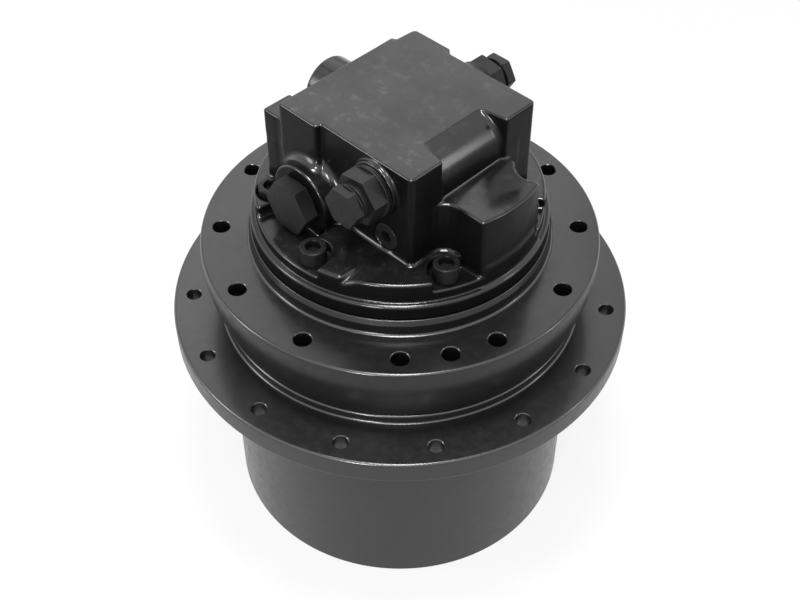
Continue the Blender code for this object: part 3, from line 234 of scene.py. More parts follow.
def prism(name, outline, low, high, place=Matrix()):
    """Straight bar over a plan outline."""
    count = len(outline)
    vertices = [tuple(place @ Vector((x, y, z))) for z in (low, high) for x, y in outline]
    faces = [tuple(range(count)), tuple(range(count, 2 * count))]
    for k in range(count):
        m = (k + 1) % count
        faces.append((k, m, count + m, count + k))
    return mesh_object(name, vertices, faces)


def settle(target):
    """Modifiers of a piece made final in its mesh."""
    graph = bpy.context.evaluated_depsgraph_get()
    mesh = bpy.data.meshes.new_from_object(target.evaluated_get(graph))
    target.modifiers.clear()
    spent = target.data
    target.data = mesh
    bpy.data.meshes.remove(spent)


def joined(name, parts):
    """Several shells that do not touch as one object."""
    shell = bmesh.new()
    for part in parts:
        shell.from_mesh(part.data)
        spent = part.data
        bpy.data.objects.remove(part)
        bpy.data.meshes.remove(spent)
    mesh = bpy.data.meshes.new(name)
    shell.to_mesh(mesh)
    shell.free()
    made = bpy.data.objects.new(name, mesh)
    scene.collection.objects.link(made)
    return made


def machine(target, operation, tool):
    """Cut the target by the tool, unite the two or keep what they share."""
    modifier = target.modifiers.new("machining", "BOOLEAN")
    modifier.operation = operation
    modifier.solver = "EXACT"
    modifier.object = tool
    settle(target)
    spent = tool.data
    bpy.data.objects.remove(tool)
    bpy.data.meshes.remove(spent)
    return target


def on_circle(radius, angle, z=0.0):
    """Place on a pitch circle, turned to face outward."""
    spot = Vector((radius * cos(radians(angle)), radius * sin(radians(angle)), z))
    return Matrix.Translation(spot) @ Matrix.Rotation(radians(angle), 4, "Z")


def drill(radius, low, high, place, steps=HOLE_ROUND, break_edge=0.5):
    """Tool for a round hole whose upper mouth is countersunk a little."""
    section = [(radius, low), (radius, high - break_edge), (radius + 2 * break_edge, high + break_edge)]
    return turned("drill", section, steps, False, place)


def tooth_spaces(flank=6):
    """Plan outline of the toothed broach that cuts the ring gear's spaces, flanks on the involute."""
    base_r = RING_PITCH_R * cos(PRESSURE)
    outline = []
    for k in range(RING_TEETH):
        centre = 2 * pi * k / RING_TEETH
        for side in (-1, 1):
            for m in range(flank + 1):
                share = m / flank if side < 0 else 1 - m / flank
                radius = BROACH_INNER_R + (RING_ROOT_R - BROACH_INNER_R) * share
                roll = acos(base_r / max(radius, base_r))
                half = pi / (2 * RING_TEETH) + BACKLASH / RING_PITCH_R
                half += tan(PRESSURE) - PRESSURE - tan(roll) + roll
                angle = centre + side * half
                outline.append((radius * cos(angle), radius * sin(angle)))
    return outline


def group_output(group, name, kind, socket):
    """Named output of a node group, fed from a socket."""
    group.interface.new_socket(name=name, in_out="OUTPUT", socket_type=kind)
    group.links.new(socket, group.nodes["Group Output"].inputs[name])


def new_group(name, inputs):
    """Node group with float inputs and their usual values."""
    group = bpy.data.node_groups.new(name, "ShaderNodeTree")
    for label, value in inputs:
        made = group.interface.new_socket(name=label, in_out="INPUT", socket_type="NodeSocketFloat")
        made.default_value = value
    group.nodes.new("NodeGroupInput")
    group.nodes.new("NodeGroupOutput")
    return group


def noise(tree, detail, roughness, scale_socket, coordinate):
    """Noise in the object's own coordinates."""
    made = tree.nodes.new("ShaderNodeTexNoise")
    made.inputs["Detail"].default_value = detail
    made.inputs["Roughness"].default_value = roughness
    tree.links.new(coordinate, made.inputs["Vector"])
    tree.links.new(scale_socket, made.inputs["Scale"])
    return made.outputs["Fac"]


def calc(tree, operation, first, second):
    """Math node on sockets or plain numbers."""
    made = tree.nodes.new("ShaderNodeMath")
    made.operation = operation
    for slot, value in enumerate((first, second)):
        if isinstance(value, float):
            made.inputs[slot].default_value = value
        else:
            tree.links.new(value, made.inputs[slot])
    return made.outputs[0]


def between(tree, value, low, high, out_low=0.0, out_high=1.0):
    """Value spread from one range to another, held at its ends."""
    made = tree.nodes.new("ShaderNodeMapRange")
    made.interpolation_type = "SMOOTHSTEP"
    tree.links.new(value, made.inputs["Value"])
    for label, number in (("From Min", low), ("From Max", high), ("To Min", out_low), ("To Max", out_high)):
        made.inputs[label].default_value = number
    return made.outputs["Result"]


# Blotches: clouds with small soft spots in them, as on paint that has dried unevenly and gathered dust
blotches = new_group("blotches", [("Clouds per metre", 16.0), ("Spots per metre", 150.0)])
coordinate = blotches.nodes.new("ShaderNodeTexCoord").outputs["Object"]
group_in = blotches.nodes["Group Input"]
clouds = between(blotches, noise(blotches, 4.0, 0.6, group_in.outputs[0], coordinate), 0.36, 0.66)
spots = between(blotches, noise(blotches, 4.0, 0.55, group_in.outputs[1], coordinate), 0.42, 0.76)
fine = between(blotches, noise(blotches, 6.0, 0.65, group_in.outputs[1], coordinate), 0.30, 0.72)
both = calc(blotches, "MULTIPLY", clouds, calc(blotches, "MAXIMUM", spots, 0.3))
group_output(blotches, "Spotted", "NodeSocketFloat", both)
group_output(blotches, "Cloudy", "NodeSocketFloat", clouds)
group_output(blotches, "Fine", "NodeSocketFloat", fine)

# Grain: the height of a sand-cast or blasted surface under its paint
grain = new_group("grain", [("Grains per metre", 900.0)])
coordinate = grain.nodes.new("ShaderNodeTexCoord").outputs["Object"]
group_in = grain.nodes["Group Input"]
coarse = noise(grain, 2.0, 0.5, group_in.outputs[0], coordinate)
slow = noise(grain, 1.0, 0.5, calc(grain, "MULTIPLY", group_in.outputs[0], 0.12), coordinate)
height = calc(grain, "ADD", coarse, calc(grain, "MULTIPLY", slow, 1.5))
group_output(grain, "Height", "NodeSocketFloat", height)

# Rubbed edges: where the surface is sharply convex, handling has thinned the finish
rubbed = new_group("rubbed_edges", [("Amount", 1.0), ("Patches per metre", 160.0)])
coordinate = rubbed.nodes.new("ShaderNodeTexCoord").outputs["Object"]
group_in = rubbed.nodes["Group Input"]
sharpness = between(rubbed, rubbed.nodes.new("ShaderNodeNewGeometry").outputs["Pointiness"], 0.52, 0.62)
patchy = noise(rubbed, 3.0, 0.6, group_in.outputs[1], coordinate)
wear_and_highlight = calc(rubbed, "MULTIPLY", sharpness, between(rubbed, patchy, 0.35, 0.65))
group_output(rubbed, "Mask", "NodeSocketFloat", calc(rubbed, "MULTIPLY", wear_and_highlight, group_in.outputs[0]))

# Upward faces: where spray and dust settle most, and the rolled rims among them
upward = new_group("upward_faces", [("Amount", 1.0)])
group_in = upward.nodes["Group Input"]
split = upward.nodes.new("ShaderNodeSeparateXYZ")
upward.links.new(upward.nodes.new("ShaderNodeNewGeometry").outputs["Normal"], split.inputs[0])
facing = between(upward, split.outputs["Z"], 0.12, 0.62)
group_output(upward, "Mask", "NodeSocketFloat", calc(upward, "MULTIPLY", facing, group_in.outputs[0]))
tilted = between(upward, split.outputs["Z"], 0.905, 0.970, 1.0, 0.0)
group_output(upward, "Rolled", "NodeSocketFloat", calc(upward, "MULTIPLY", facing, tilted))


def placed(tree, group, **values):
    """Node group placed in a material with its own values."""
    made = tree.nodes.new("ShaderNodeGroup")
    made.node_tree = group
    for label, value in values.items():
        made.inputs[label.replace("_", " ").capitalize()].default_value = value
    return made.outputs


def blend_colour(tree, share, first, second):
    """Two colours mixed by a mask."""
    made = tree.nodes.new("ShaderNodeMix")
    made.data_type = "RGBA"
    tree.links.new(share, made.inputs["Factor"])
    for socket, colour in ((made.inputs["A"], first), (made.inputs["B"], second)):
        if isinstance(colour, tuple):
            socket.default_value = (*colour, 1.0)
        else:
            tree.links.new(colour, socket)
    return made.outputs["Result"]


def grey(level):
    """Colour without a hue."""
    return (level, level, level)


def roughen(tree, shader, fine, rough, grains, strength, depth):
    """Roughness that wanders between two values, and grain as a bump whose depth is in millimetres."""
    tree.links.new(between(tree, fine, 0.0, 1.0, *rough), shader.inputs["Roughness"])
    height = placed(tree, grain, Grains_per_metre=grains)["Height"]
    made = tree.nodes.new("ShaderNodeBump")
    made.inputs["Strength"].default_value = strength
    made.inputs["Distance"].default_value = depth * MM
    tree.links.new(height, made.inputs["Height"])
    tree.links.new(made.outputs["Normal"], shader.inputs["Normal"])


def new_finish(name, metallic, gloss):
    """Empty surface finish: its material, node tree and shader."""
    made = bpy.data.materials.new(name)
    made.use_nodes = True
    shader = made.node_tree.nodes["Principled BSDF"]
    shader.inputs["Metallic"].default_value = metallic
    shader.inputs["Specular IOR Level"].default_value = gloss
    return made, made.node_tree, shader


def satin_paint(name, gloss, deep, dusty, rough, film_share, edge_share):
    """Black satin paint: deep on the walls, a glossy film and dust on upward faces, thick on rims, lighter
    there too.
    """
    made, tree, shader = new_finish(name, 0.0, gloss)
    film = placed(tree, blotches)
    facing = placed(tree, upward)
    settled = facing["Mask"]
    colour = blend_colour(tree, calc(tree, "MULTIPLY", film["Spotted"], settled), grey(deep), grey(dusty))
    # Upward rims get a lighter grey, partly rubbed wear and partly a painted highlight on the rims that face
    # up.
    wear_and_highlight = calc(tree, "MULTIPLY", placed(tree, rubbed, Amount=0.35)["Mask"], facing["Rolled"])
    colour = blend_colour(tree, wear_and_highlight, colour, grey(0.06))
    tree.links.new(colour, shader.inputs["Base Color"])
    roughen(tree, shader, film["Fine"], rough, 900.0, 0.12, 0.08)
    uneven = calc(tree, "ADD", calc(tree, "MULTIPLY", film["Spotted"], 0.6), 1.0)
    thick = calc(tree, "MULTIPLY", uneven, film_share)
    thick = calc(tree, "MAXIMUM", thick, calc(tree, "MULTIPLY", facing["Rolled"], edge_share))
    tree.links.new(calc(tree, "MULTIPLY", thick, settled), shader.inputs["Coat Weight"])
    shader.inputs["Coat IOR"].default_value = 1.65
    shader.inputs["Coat Roughness"].default_value = 0.17
    return made


hub_paint = satin_paint(
    "hub_paint", gloss=0.5, deep=0.010, dusty=0.012, rough=(0.28, 0.36), film_share=0.16, edge_share=1.0,
)


def complete(target, finish, body, replaced=(), crease=32.0):
    """Shading, finish and place in the assembly of one piece."""
    mesh = target.data
    mesh.materials.clear()
    mesh.materials.append(finish)
    mesh.shade_smooth()
    mesh.set_sharp_from_angle(angle=radians(crease))
    modifier = target.modifiers.new("flat_faces_stay_flat", "WEIGHTED_NORMAL")
    modifier.keep_sharp = True
    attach(target, body)
    if replaced:
        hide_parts(*replaced)
    return target


hub = turned("hub_casting", rolled(HUB_SECTION), ROUND)
machine(hub, "DIFFERENCE", prism("broach", tooth_spaces(), RING_Z[0] - 1, RING_Z[1] + 2))
machine(hub, "DIFFERENCE", joined("drills", [
    drill(SPROCKET_HOLE_R, SPROCKET_Z[0] - 1, SPROCKET_Z[1], on_circle(SPROCKET_CIRCLE_R, angle))
    for angle in SPROCKET_ANGLES
]))
complete(hub, hub_paint, "hub_side", ["hub_housing"])

# Gearbox end: painted cover held in the drum by a snap ring, with two steel screw plugs for filling and
# levelling the oil. It closes the planet stages and rests just above the floor.
END_PLUG_CIRCLE_R = 58.0
END_PLUG_R = 9.0
END_FACE_Z = 8.0
SOCKET_AF = 8.0
END_COVER_SECTION = [
    (0.5, END_FACE_Z, 0.0), (94.0, END_FACE_Z, 1.5), (98.0, 6.6, 1.0), (116.0, 6.6, 0.4), (116.0, 15.7, 0.5),
    (0.5, 15.7, 0.0),
]


def stained(name, metallic, gloss, stain, colours, rough, grains, strength, depth, clouds=40.0, spots=300.0):
    """Finish in two colours that follow one of the blotches' patterns, with its material, tree and shader."""
    made, tree, shader = new_finish(name, metallic, gloss)
    film = placed(tree, blotches, Clouds_per_metre=clouds, Spots_per_metre=spots)
    tree.links.new(blend_colour(tree, film[stain], *colours), shader.inputs["Base Color"])
    roughen(tree, shader, film["Fine"], rough, grains, strength, depth)
    return made, tree, shader


def metal(name, low_colour, high_colour, low_rough, high_rough, lines):
    """Bare metal with slight stains and the fine marks of its machining."""
    colours = (low_colour, high_colour)
    return stained(name, 1.0, 0.5, "Cloudy", colours, (low_rough, high_rough), lines, 0.15, 0.03)[0]


oxide, tree, shader = stained(
    "black_oxide", 0.0, 0.18, "Cloudy", (grey(0.006), grey(0.011)), (0.40, 0.52),
    grains=2600.0, strength=0.2, depth=0.05, clouds=45.0, spots=420.0,
)
tree.links.new(placed(tree, upward, Amount=0.18)["Mask"], shader.inputs["Coat Weight"])
shader.inputs["Coat Roughness"].default_value = 0.3
spring_steel = metal("spring_steel", (0.20, 0.20, 0.22), (0.34, 0.34, 0.36), 0.28, 0.42, 1800.0)
end_cover = turned("gearbox_end_cover", rolled(END_COVER_SECTION), ROUND)
plug_places = [on_circle(END_PLUG_CIRCLE_R, angle) for angle in (90, 270)]
machine(end_cover, "DIFFERENCE", joined("drills", [
    turned("drill", [(END_PLUG_R, -1), (END_PLUG_R, 20)], HOLE_ROUND, False, place) for place in plug_places
]))
complete(end_cover, hub_paint, "hub_side", ["end_cover"])
SNAP_GAP = 6.0
SNAP_STEPS = 116
SNAP_R = (110.0, 119.1)
SNAP_Z = (3.3, 6.0)
EYE_R = 1.6
EYE_CIRCLE_R = 113.6
EYE_ANGLE = SNAP_GAP + 2.4
snap_inner, snap_outer = [[
    (radius * cos(radians(angle)), radius * sin(radians(angle)))
    for angle in [SNAP_GAP + (360 - 2 * SNAP_GAP) * k / SNAP_STEPS for k in range(SNAP_STEPS + 1)]
] for radius in SNAP_R]
snap_ring = prism("snap_ring", snap_outer + snap_inner[::-1], *SNAP_Z)
machine(snap_ring, "DIFFERENCE", joined("drills", [
    turned("drill", [(EYE_R, 0), (EYE_R, 9)], 24, False, on_circle(EYE_CIRCLE_R, side * EYE_ANGLE))
    for side in (-1, 1)
]))
complete(snap_ring, spring_steel, "hub_side", ["retaining_ring"])


def hexagon(across_flats, turn=0.0):
    """Plan outline of a hexagon."""
    reach = across_flats / sqrt(3)
    return [(reach * cos(radians(turn + 60 * k)), reach * sin(radians(turn + 60 * k))) for k in range(6)]


def socket_tool(across_flats, low, high, place):
    """Tool for a hexagon socket."""
    return prism("socket", hexagon(across_flats), low, high, place)


for name, node, place in zip(("fill_screw_plug", "level_screw_plug"), ("fill_plug", "level_plug"), plug_places):
    section = rolled([(0.4, 6.0, 0.0), (8.7, 6.0, 0.8), (8.7, 15.7, 0.5), (0.4, 15.7, 0.0)])
    plug = turned(name, section, 48, True, place)
    machine(plug, "DIFFERENCE", socket_tool(SOCKET_AF, 0, END_FACE_Z + 3.5, place))
    complete(plug, oxide, "hub_side", [node])

# Spindle: the fixed casting with the frame flange and its thirteen holes, the pilot neck, the bearing seat
# and the bore for the motor. Turned from ductile iron and painted where it stays outside.
FRAME_Z = 235.0
FRAME_CIRCLE_R = 125.0
FRAME_HOLE_R = 6.1
FRAME_HOLE_DEPTH = 26.0
FRAME_ANGLES = [-45 + 30 * k for k in range(12)] + [-30]
COVER_CIRCLE_R = 87.0
COVER_ANGLES = [-25.3, 28.0, 85.0, 135.0, 180.0, -131.0, -84.8]
COVER_BOLT_R = 5.3
COVER_SEAT_Z = 246.85
COVER_THREAD_Z = 226.0
PIN_CIRCLE_R = 72.0
PIN_ANGLES = (90, 210, 330)
PIN_R = 9.3
PIN_Z = (109.6, 129.0)
SPINDLE_SECTION = [
    (68.0, 246.85, 0.4), (103.5, 246.85, 0.5), (105.0, 243.0, 1.0), (105.0, 235.0, 2.0), (139.4, 235.0, 1.9),
    (139.4, 216.0, 45.0), (129.9, 185.0, 1.5), (114.3, 185.0, 0.5), (114.3, 196.0, 0.8),
    (96.0, 196.0, 0.8), (96.0, 168.3, 0.4), (88.0, 168.3, 0.4), (88.0, 110.6, 0.6), (50.0, 110.6, 0.6),
    (50.0, 124.0, 0.6), (20.0, 124.0, 0.3), (20.0, 132.0, 0.2), (26.0, 132.0, 0.3), (26.0, 150.0, 0.5),
    (64.0, 150.0, 0.5), (64.0, 195.6, 0.4), (68.0, 195.6, 0.3),
]
spindle_paint = satin_paint(
    "spindle_paint", gloss=0.38, deep=0.006, dusty=0.010, rough=(0.28, 0.36), film_share=0.17, edge_share=1.0,
)
spindle = turned("spindle_casting", rolled(SPINDLE_SECTION), ROUND)
drills = []
for angle in FRAME_ANGLES:
    place = on_circle(FRAME_CIRCLE_R, angle)
    drills.append(drill(FRAME_HOLE_R, FRAME_Z - FRAME_HOLE_DEPTH, FRAME_Z, place))
for angle in COVER_ANGLES:
    place = on_circle(COVER_CIRCLE_R, angle)
    drills.append(drill(COVER_BOLT_R, COVER_THREAD_Z, COVER_SEAT_Z, place, 24))
for angle in PIN_ANGLES:
    place = on_circle(PIN_CIRCLE_R, angle)
    drills.append(turned("drill", [(PIN_R, z) for z in PIN_Z], 32, False, place))
machine(spindle, "DIFFERENCE", joined("drills", drills))
complete(spindle, spindle_paint, "spindle_side", ["spindle"])

# Inside the housings: gears, pins, carriers, bearings, seals, motor and brake. Forged and ground steel,
# bronze and rubber; the solids keep their shape and get the finish that each part has.
machined_steel = metal("machined_steel", (0.40, 0.40, 0.41), (0.56, 0.56, 0.57), 0.26, 0.40, 1500.0)
ground_steel = metal("ground_steel", (0.56, 0.56, 0.57), (0.70, 0.70, 0.71), 0.14, 0.26, 3000.0)
gear_steel = metal("gear_steel", (0.24, 0.24, 0.25), (0.38, 0.38, 0.39), 0.26, 0.42, 1600.0)
bronze = metal("bronze", (0.42, 0.27, 0.12), (0.60, 0.42, 0.20), 0.26, 0.42, 1500.0)
rubber = stained(
    "nitrile_rubber", 0.0, 0.4, "Cloudy", (grey(0.014), grey(0.03)), (0.55, 0.75),
    grains=2000.0, strength=0.2, depth=0.05, clouds=60.0, spots=150.0,
)[0]
lining = stained(
    "friction_lining", 0.0, 0.3, "Fine", ((0.09, 0.065, 0.045), (0.22, 0.17, 0.13)), (0.75, 0.95),
    grains=1200.0, strength=0.4, depth=0.15, clouds=300.0, spots=1500.0,
)[0]
finishes = {
    "black_paint": hub_paint, "black_oxide": oxide, "spring_steel": spring_steel, "ground_steel": ground_steel,
    "machined_steel": machined_steel, "gear_steel": gear_steel, "bronze": bronze, "nitrile_rubber": rubber,
    "friction_lining": lining,
}
for row in frame["record"]["subparts"]:
    mesh = nodes[row["node"]].data
    mesh.materials.clear()
    mesh.materials.append(finishes[row["material_slot"]])

# Valve cover: one iron casting that closes the motor and carries the valve block, the saddle, the spool
# bosses and the hose ports. Cast walls run into each other in fillets; seats and top are milled and painted.
# Its skin is drawn from distances to plain shapes, so that every edge and root has its own radius.
GRID = 1.0
JOINT_Z = 247.15
CAST_ROOT_Z = 255.0
RIDGE_Z = 258.6
LOW_Z = 266.0
DECK_Z = 273.5
BLOCK_TOP_Z = 343.5
SPOOL = (-23.6, 287.0)
FRONT_VALVE = (32.5, 322.5)
REAR_VALVE = (5.5, 322.5)
GALLERY = (40.0, 285.0)
UPPER_PORT = (5.0, 316.0)
LOWER_PORT = (-45.0, 307.0)
HUMP = (32.0, 316.0)
SPOOL_BORE_R = 12.5
VALVE_BORE_R = 9.0
PORT_BORE_R = 10.5
BOSS_R = 25.0
HUMP_R = 28.5
PORT_BOSS_R = 21.0
VALVE_SEAT_R = 18.7
SPOOL_SEAT_Y = (69.3, 70.0)
VALVE_SEAT_Y = (56.6, 64.9)
x = np.arange(-107.0, 108.0, GRID, dtype=np.float32)[:, None, None]
y = np.arange(-107.0, 108.0, GRID, dtype=np.float32)[None, :, None]
z = np.arange(243.0, 347.0, GRID, dtype=np.float32)[None, None, :]
axis_r = np.sqrt(x * x + y * y)


def in_both(a, b, edge):
    """What two shapes share, their edge rolled over."""
    u = np.maximum(edge + a, 0)
    v = np.maximum(edge + b, 0)
    return np.minimum(-edge, np.maximum(a, b)) + np.sqrt(u * u + v * v)


def grown(a, b, root):
    """Two shapes cast together, with a fillet at the root."""
    u = np.maximum(root - a, 0)
    v = np.maximum(root - b, 0)
    return np.maximum(root, np.minimum(a, b)) - np.sqrt(u * u + v * v)


def cut_away(a, b, edge):
    """The first shape without the second, the mouth rolled over."""
    return in_both(a, -b, edge)


def slab(value, low, high):
    """Distance to the space between two parallel planes."""
    return np.abs(value - (low + high) / 2) - (high - low) / 2


def within(outline, u, v):
    """Distance to a closed plan outline, negative inside."""
    nearest = np.full(np.broadcast(u, v).shape, 1e9, dtype=np.float32)
    inside = np.zeros(nearest.shape, dtype=bool)
    for (ax, ay), (bx, by) in zip(outline, outline[1:] + outline[:1]):
        length = (bx - ax) ** 2 + (by - ay) ** 2
        along = np.clip(((u - ax) * (bx - ax) + (v - ay) * (by - ay)) / length, 0, 1)
        gap = (u - ax - along * (bx - ax)) ** 2 + (v - ay - along * (by - ay)) ** 2
        nearest = np.minimum(nearest, gap)
        if by != ay:
            crossed = ((ay > v) != (by > v)) & (u < (bx - ax) * (v - ay) / (by - ay) + ax)
            inside ^= np.broadcast_to(crossed, inside.shape)
    return np.where(inside, -1, 1) * np.sqrt(nearest)


def bar(u, v, centre, radius):
    """Distance to a long round bar seen along its axis."""
    return np.sqrt((u - centre[0]) ** 2 + (v - centre[1]) ** 2) - radius


FLOOR_OUTLINES = [
    [
        (-125, -100, 0), (-49, -84, 2), (-44, -57, 3), (-44, -44, 3), (-1, -44, 2), (-1, -78, 2),
        (20.6, -88, 1), (22.0, -98, 0), (24, -125, 0), (-125, -125, 0),
    ],
    [(72.7, -47.6, 0), (111, -69.8, 0), (125, -20, 0), (80, -20, 0), (76, -37, 0)],
    [(58, 30, 0), (125, 30, 0), (125, 90, 6), (58, 41.8, 6)],
    [(-46, 55, 3), (-1, 55, 3), (-1, 125, 0), (-46, 125, 0)],
]
POCKET_R = 12.0
SMALL_POCKET_R = 10.6
WIDE_POCKET_R = 13.0
HEAD_BORE_R = 9.2
BLOCK_OUTLINE = [
    (62.5, -53.0, 3.0), (62.5, -25.4, 1.6), (41.8, -22.0, 2.5), (41.8, 29.5, 2.5), (62.5, 33.0, 1.6),
    (62.5, 60.5, 3.0), (-13.2, 60.5, 2.5), (-17.0, 64.5, 2.5), (-50.0, 64.5, 3.0), (-50.9, 47.4, 1.0),
    (-54.3, 46.4, 1.5), (-52.6, -57.5, 1.2), (-18.3, -57.5, 1.8), (-16.7, -53.0, 1.5),
]
SADDLE_OUTLINE = [
    (52, -36, 0), (62.5, -33.0, 2), (63.8, -28.2, 3), (67.8, -24.2, 3), (73.0, -22.5, 3), (115, -22.5, 0),
    (115, 33.5, 0), (91, 36.5, 3), (52, 36.5, 0),
]
PORT_BOX_OUTLINE = [(-40, -56.4, 0), (-40, -33, 0), (-70.5, -33, 2), (-70.5, -56.4, 1.5)]

# Deck: the round cover with its ridge, the sunk floors and screw pockets, and the fall at the right
ridge = in_both(axis_r - 103.1, slab(z, JOINT_Z, RIDGE_Z), 2.4)
base = grown(ridge, in_both(axis_r - 99.0, slab(z, 250.0, DECK_Z), 1.8), 0.4)
screw_centres = [(COVER_CIRCLE_R * cos(radians(a)), COVER_CIRCLE_R * sin(radians(a))) for a in COVER_ANGLES]
screw_axes = [bar(x, y, centre, 0.0) for centre in screw_centres]
front_floor, right_floor, back_floor, rear_floor = [within(rolled(plan), x, y) for plan in FLOOR_OUTLINES]
front_floor = grown(front_floor, screw_axes[6] - POCKET_R, 2.0)
right_floor = grown(right_floor, screw_axes[0] - POCKET_R, 2.0)
ramp = np.clip((-46 - x) * 0.42, 0, 7.5)
for plan, height in (
    (front_floor, LOW_Z + ramp), (right_floor, LOW_Z), (back_floor, LOW_Z), (rear_floor, LOW_Z),
    (screw_axes[5] - SMALL_POCKET_R, LOW_Z), (screw_axes[2] - WIDE_POCKET_R, LOW_Z),
    (screw_axes[3] - WIDE_POCKET_R, LOW_Z), (screw_axes[4] - WIDE_POCKET_R, LOW_Z),
):
    base = cut_away(base, in_both(plan, height - z, 2.0), 1.2)
fall = -0.376 * (x - 39.1) - 0.239 * (y + 72.5) + 0.892 * (z - DECK_Z)
base = cut_away(base, in_both(38.4 - x, -fall, 2.4), 2.4)

# Valve block: the milled box with the round hump, the saddle over the deck, the bosses, seats and port box
block = in_both(within(rolled(BLOCK_OUTLINE), x, y), slab(z, CAST_ROOT_Z, BLOCK_TOP_Z), 0.9)
hump = grown(bar(x, z, HUMP, HUMP_R), in_both(x - HUMP[0] - HUMP_R, z - HUMP[1], 0.1), 0.1)
hump = in_both(np.maximum(hump, 26.0 - x), slab(y, -25.0, 45.0), 0.5)
hump = np.maximum(hump, CAST_ROOT_Z - z)
wall = axis_r - 98.9 + (z - 264.0) * 0.034
saddle = in_both(np.maximum(within(rolled(SADDLE_OUTLINE), x, y), CAST_ROOT_Z - z), wall, 1.5)
outward = np.clip((x - 62.0) / 24.0, 0, 1)
sag = np.clip((y + 22.5) / 59.0, 0, 1) ** 1.25 * (7.0 * outward ** 2 * (3 - 2 * outward) - 1.4)
saddle = in_both(saddle, z - 311.4 + sag, 1.3)
spool_rod = bar(x, z, SPOOL, BOSS_R)
front_boss = in_both(spool_rod, slab(y, -SPOOL_SEAT_Y[0], -40.0), 1.2)
rear_boss = in_both(spool_rod, slab(y, 40.0, SPOOL_SEAT_Y[1]), 1.2)
port_box = in_both(within(rolled(PORT_BOX_OUTLINE), x, y), slab(z, CAST_ROOT_Z, 329.4), 1.0)
port_boss = in_both(bar(y, z, UPPER_PORT, PORT_BOSS_R), slab(x, -75.0, -40.0), 1.2)
front_seat = in_both(bar(x, z, FRONT_VALVE, VALVE_SEAT_R), slab(y, -VALVE_SEAT_Y[0], -45.0), 0.8)
rear_seat = in_both(bar(x, z, REAR_VALVE, VALVE_SEAT_R), slab(y, 50.0, VALVE_SEAT_Y[1]), 0.8)
upper = block
for shape, root in (
    (hump, 3.6), (port_box, 0.9), (port_boss, 4.0), (front_boss, 7.0), (rear_boss, 4.5), (front_seat, 1.5),
    (rear_seat, 1.5), (saddle, 1.3),
):
    upper = grown(upper, shape, root)
cover = grown(base, upper, 3.0)
cover = np.maximum(cover, z - BLOCK_TOP_Z)
for centre in screw_centres:
    cover = cut_away(cover, in_both(bar(x, y, centre, HEAD_BORE_R), LOW_Z - z, 0.6), 1.0)
    cover = np.maximum(cover, -bar(x, y, centre, COVER_BOLT_R))
for hole in (
    bar(x, z, SPOOL, SPOOL_BORE_R),
    in_both(bar(x, z, FRONT_VALVE, VALVE_BORE_R), y + 28.6, 0.5),
    in_both(bar(x, z, REAR_VALVE, VALVE_BORE_R), 36.9 - y, 0.5),
    in_both(bar(y, z, UPPER_PORT, PORT_BORE_R), x + 55.0, 0.5),
    in_both(bar(y, z, LOWER_PORT, PORT_BORE_R), x + 48.5, 0.5),
    in_both(bar(x, z, GALLERY, 10.0), y + 41.0, 0.5),
    in_both(axis_r - 20.0, z - 262.0, 0.5),
):
    cover = cut_away(cover, hole, 0.8)


def skin(field):
    """Points, quads and slopes of a sampled field's zero surface, one point in each cell that it crosses."""
    inside = field < 0
    corners = np.array([(i, j, k) for i in (0, 1) for j in (0, 1) for k in (0, 1)])
    span = np.array(field.shape) - 1
    filled = np.zeros(span, np.int8)
    for i, j, k in corners:
        filled += inside[i:span[0] + i, j:span[1] + j, k:span[2] + k]
    cells = np.argwhere((filled > 0) & (filled < 8))
    values = np.stack([field[tuple((cells + corner).T)] for corner in corners], 1)
    total = np.zeros((len(cells), 3))
    hits = np.zeros(len(cells))
    for a in range(8):
        for b in range(a + 1, 8):
            if np.abs(corners[a] - corners[b]).sum() != 1:
                continue
            crossing = (values[:, a] < 0) != (values[:, b] < 0)
            share = values[crossing, a] / (values[crossing, a] - values[crossing, b])
            total[crossing] += corners[a] + share[:, None] * (corners[b] - corners[a])
            hits += crossing
    points = cells + total / hits[:, None]
    number = np.full(span, -1)
    number[tuple(cells.T)] = np.arange(len(cells))
    quads = []
    for axis in range(3):
        low = np.take(inside, range(span[axis]), axis)
        high = np.take(inside, range(1, span[axis] + 1), axis)
        ends = np.argwhere(low != high)
        u = np.eye(3, dtype=int)[(axis + 1) % 3]
        v = np.eye(3, dtype=int)[(axis + 2) % 3]
        loop = [number[tuple((ends - near).T)] for near in (u + v, v, 0 * u, u)]
        quad = np.stack(loop, 1)
        outward = low[tuple(ends.T)]
        quad[~outward] = quad[~outward][:, ::-1]
        quads.append(quad)
    for _ in range(3):
        slope = gradient(field, points, 0.5)
        points -= slope * (lookup(field, points) / np.maximum((slope ** 2).sum(1), 1e-6))[:, None]
    return points, np.concatenate(quads), gradient(field, points, 0.75)


def lookup(field, points):
    """Field value between the samples."""
    low = np.clip(points.astype(int), 0, np.array(field.shape) - 2)
    part = points - low
    value = np.zeros(len(points))
    for i in (0, 1):
        for j in (0, 1):
            for k in (0, 1):
                weight = np.abs(1 - i - part[:, 0]) * np.abs(1 - j - part[:, 1]) * np.abs(1 - k - part[:, 2])
                value += weight * field[low[:, 0] + i, low[:, 1] + j, low[:, 2] + k]
    return value


def gradient(field, points, reach):
    """Direction in which the field grows, in its units for each step of the grid."""
    rows = []
    for axis in range(3):
        move = np.eye(3)[axis] * reach
        rows.append((lookup(field, points + move) - lookup(field, points - move)) / (2 * reach))
    return np.stack(rows, 1)


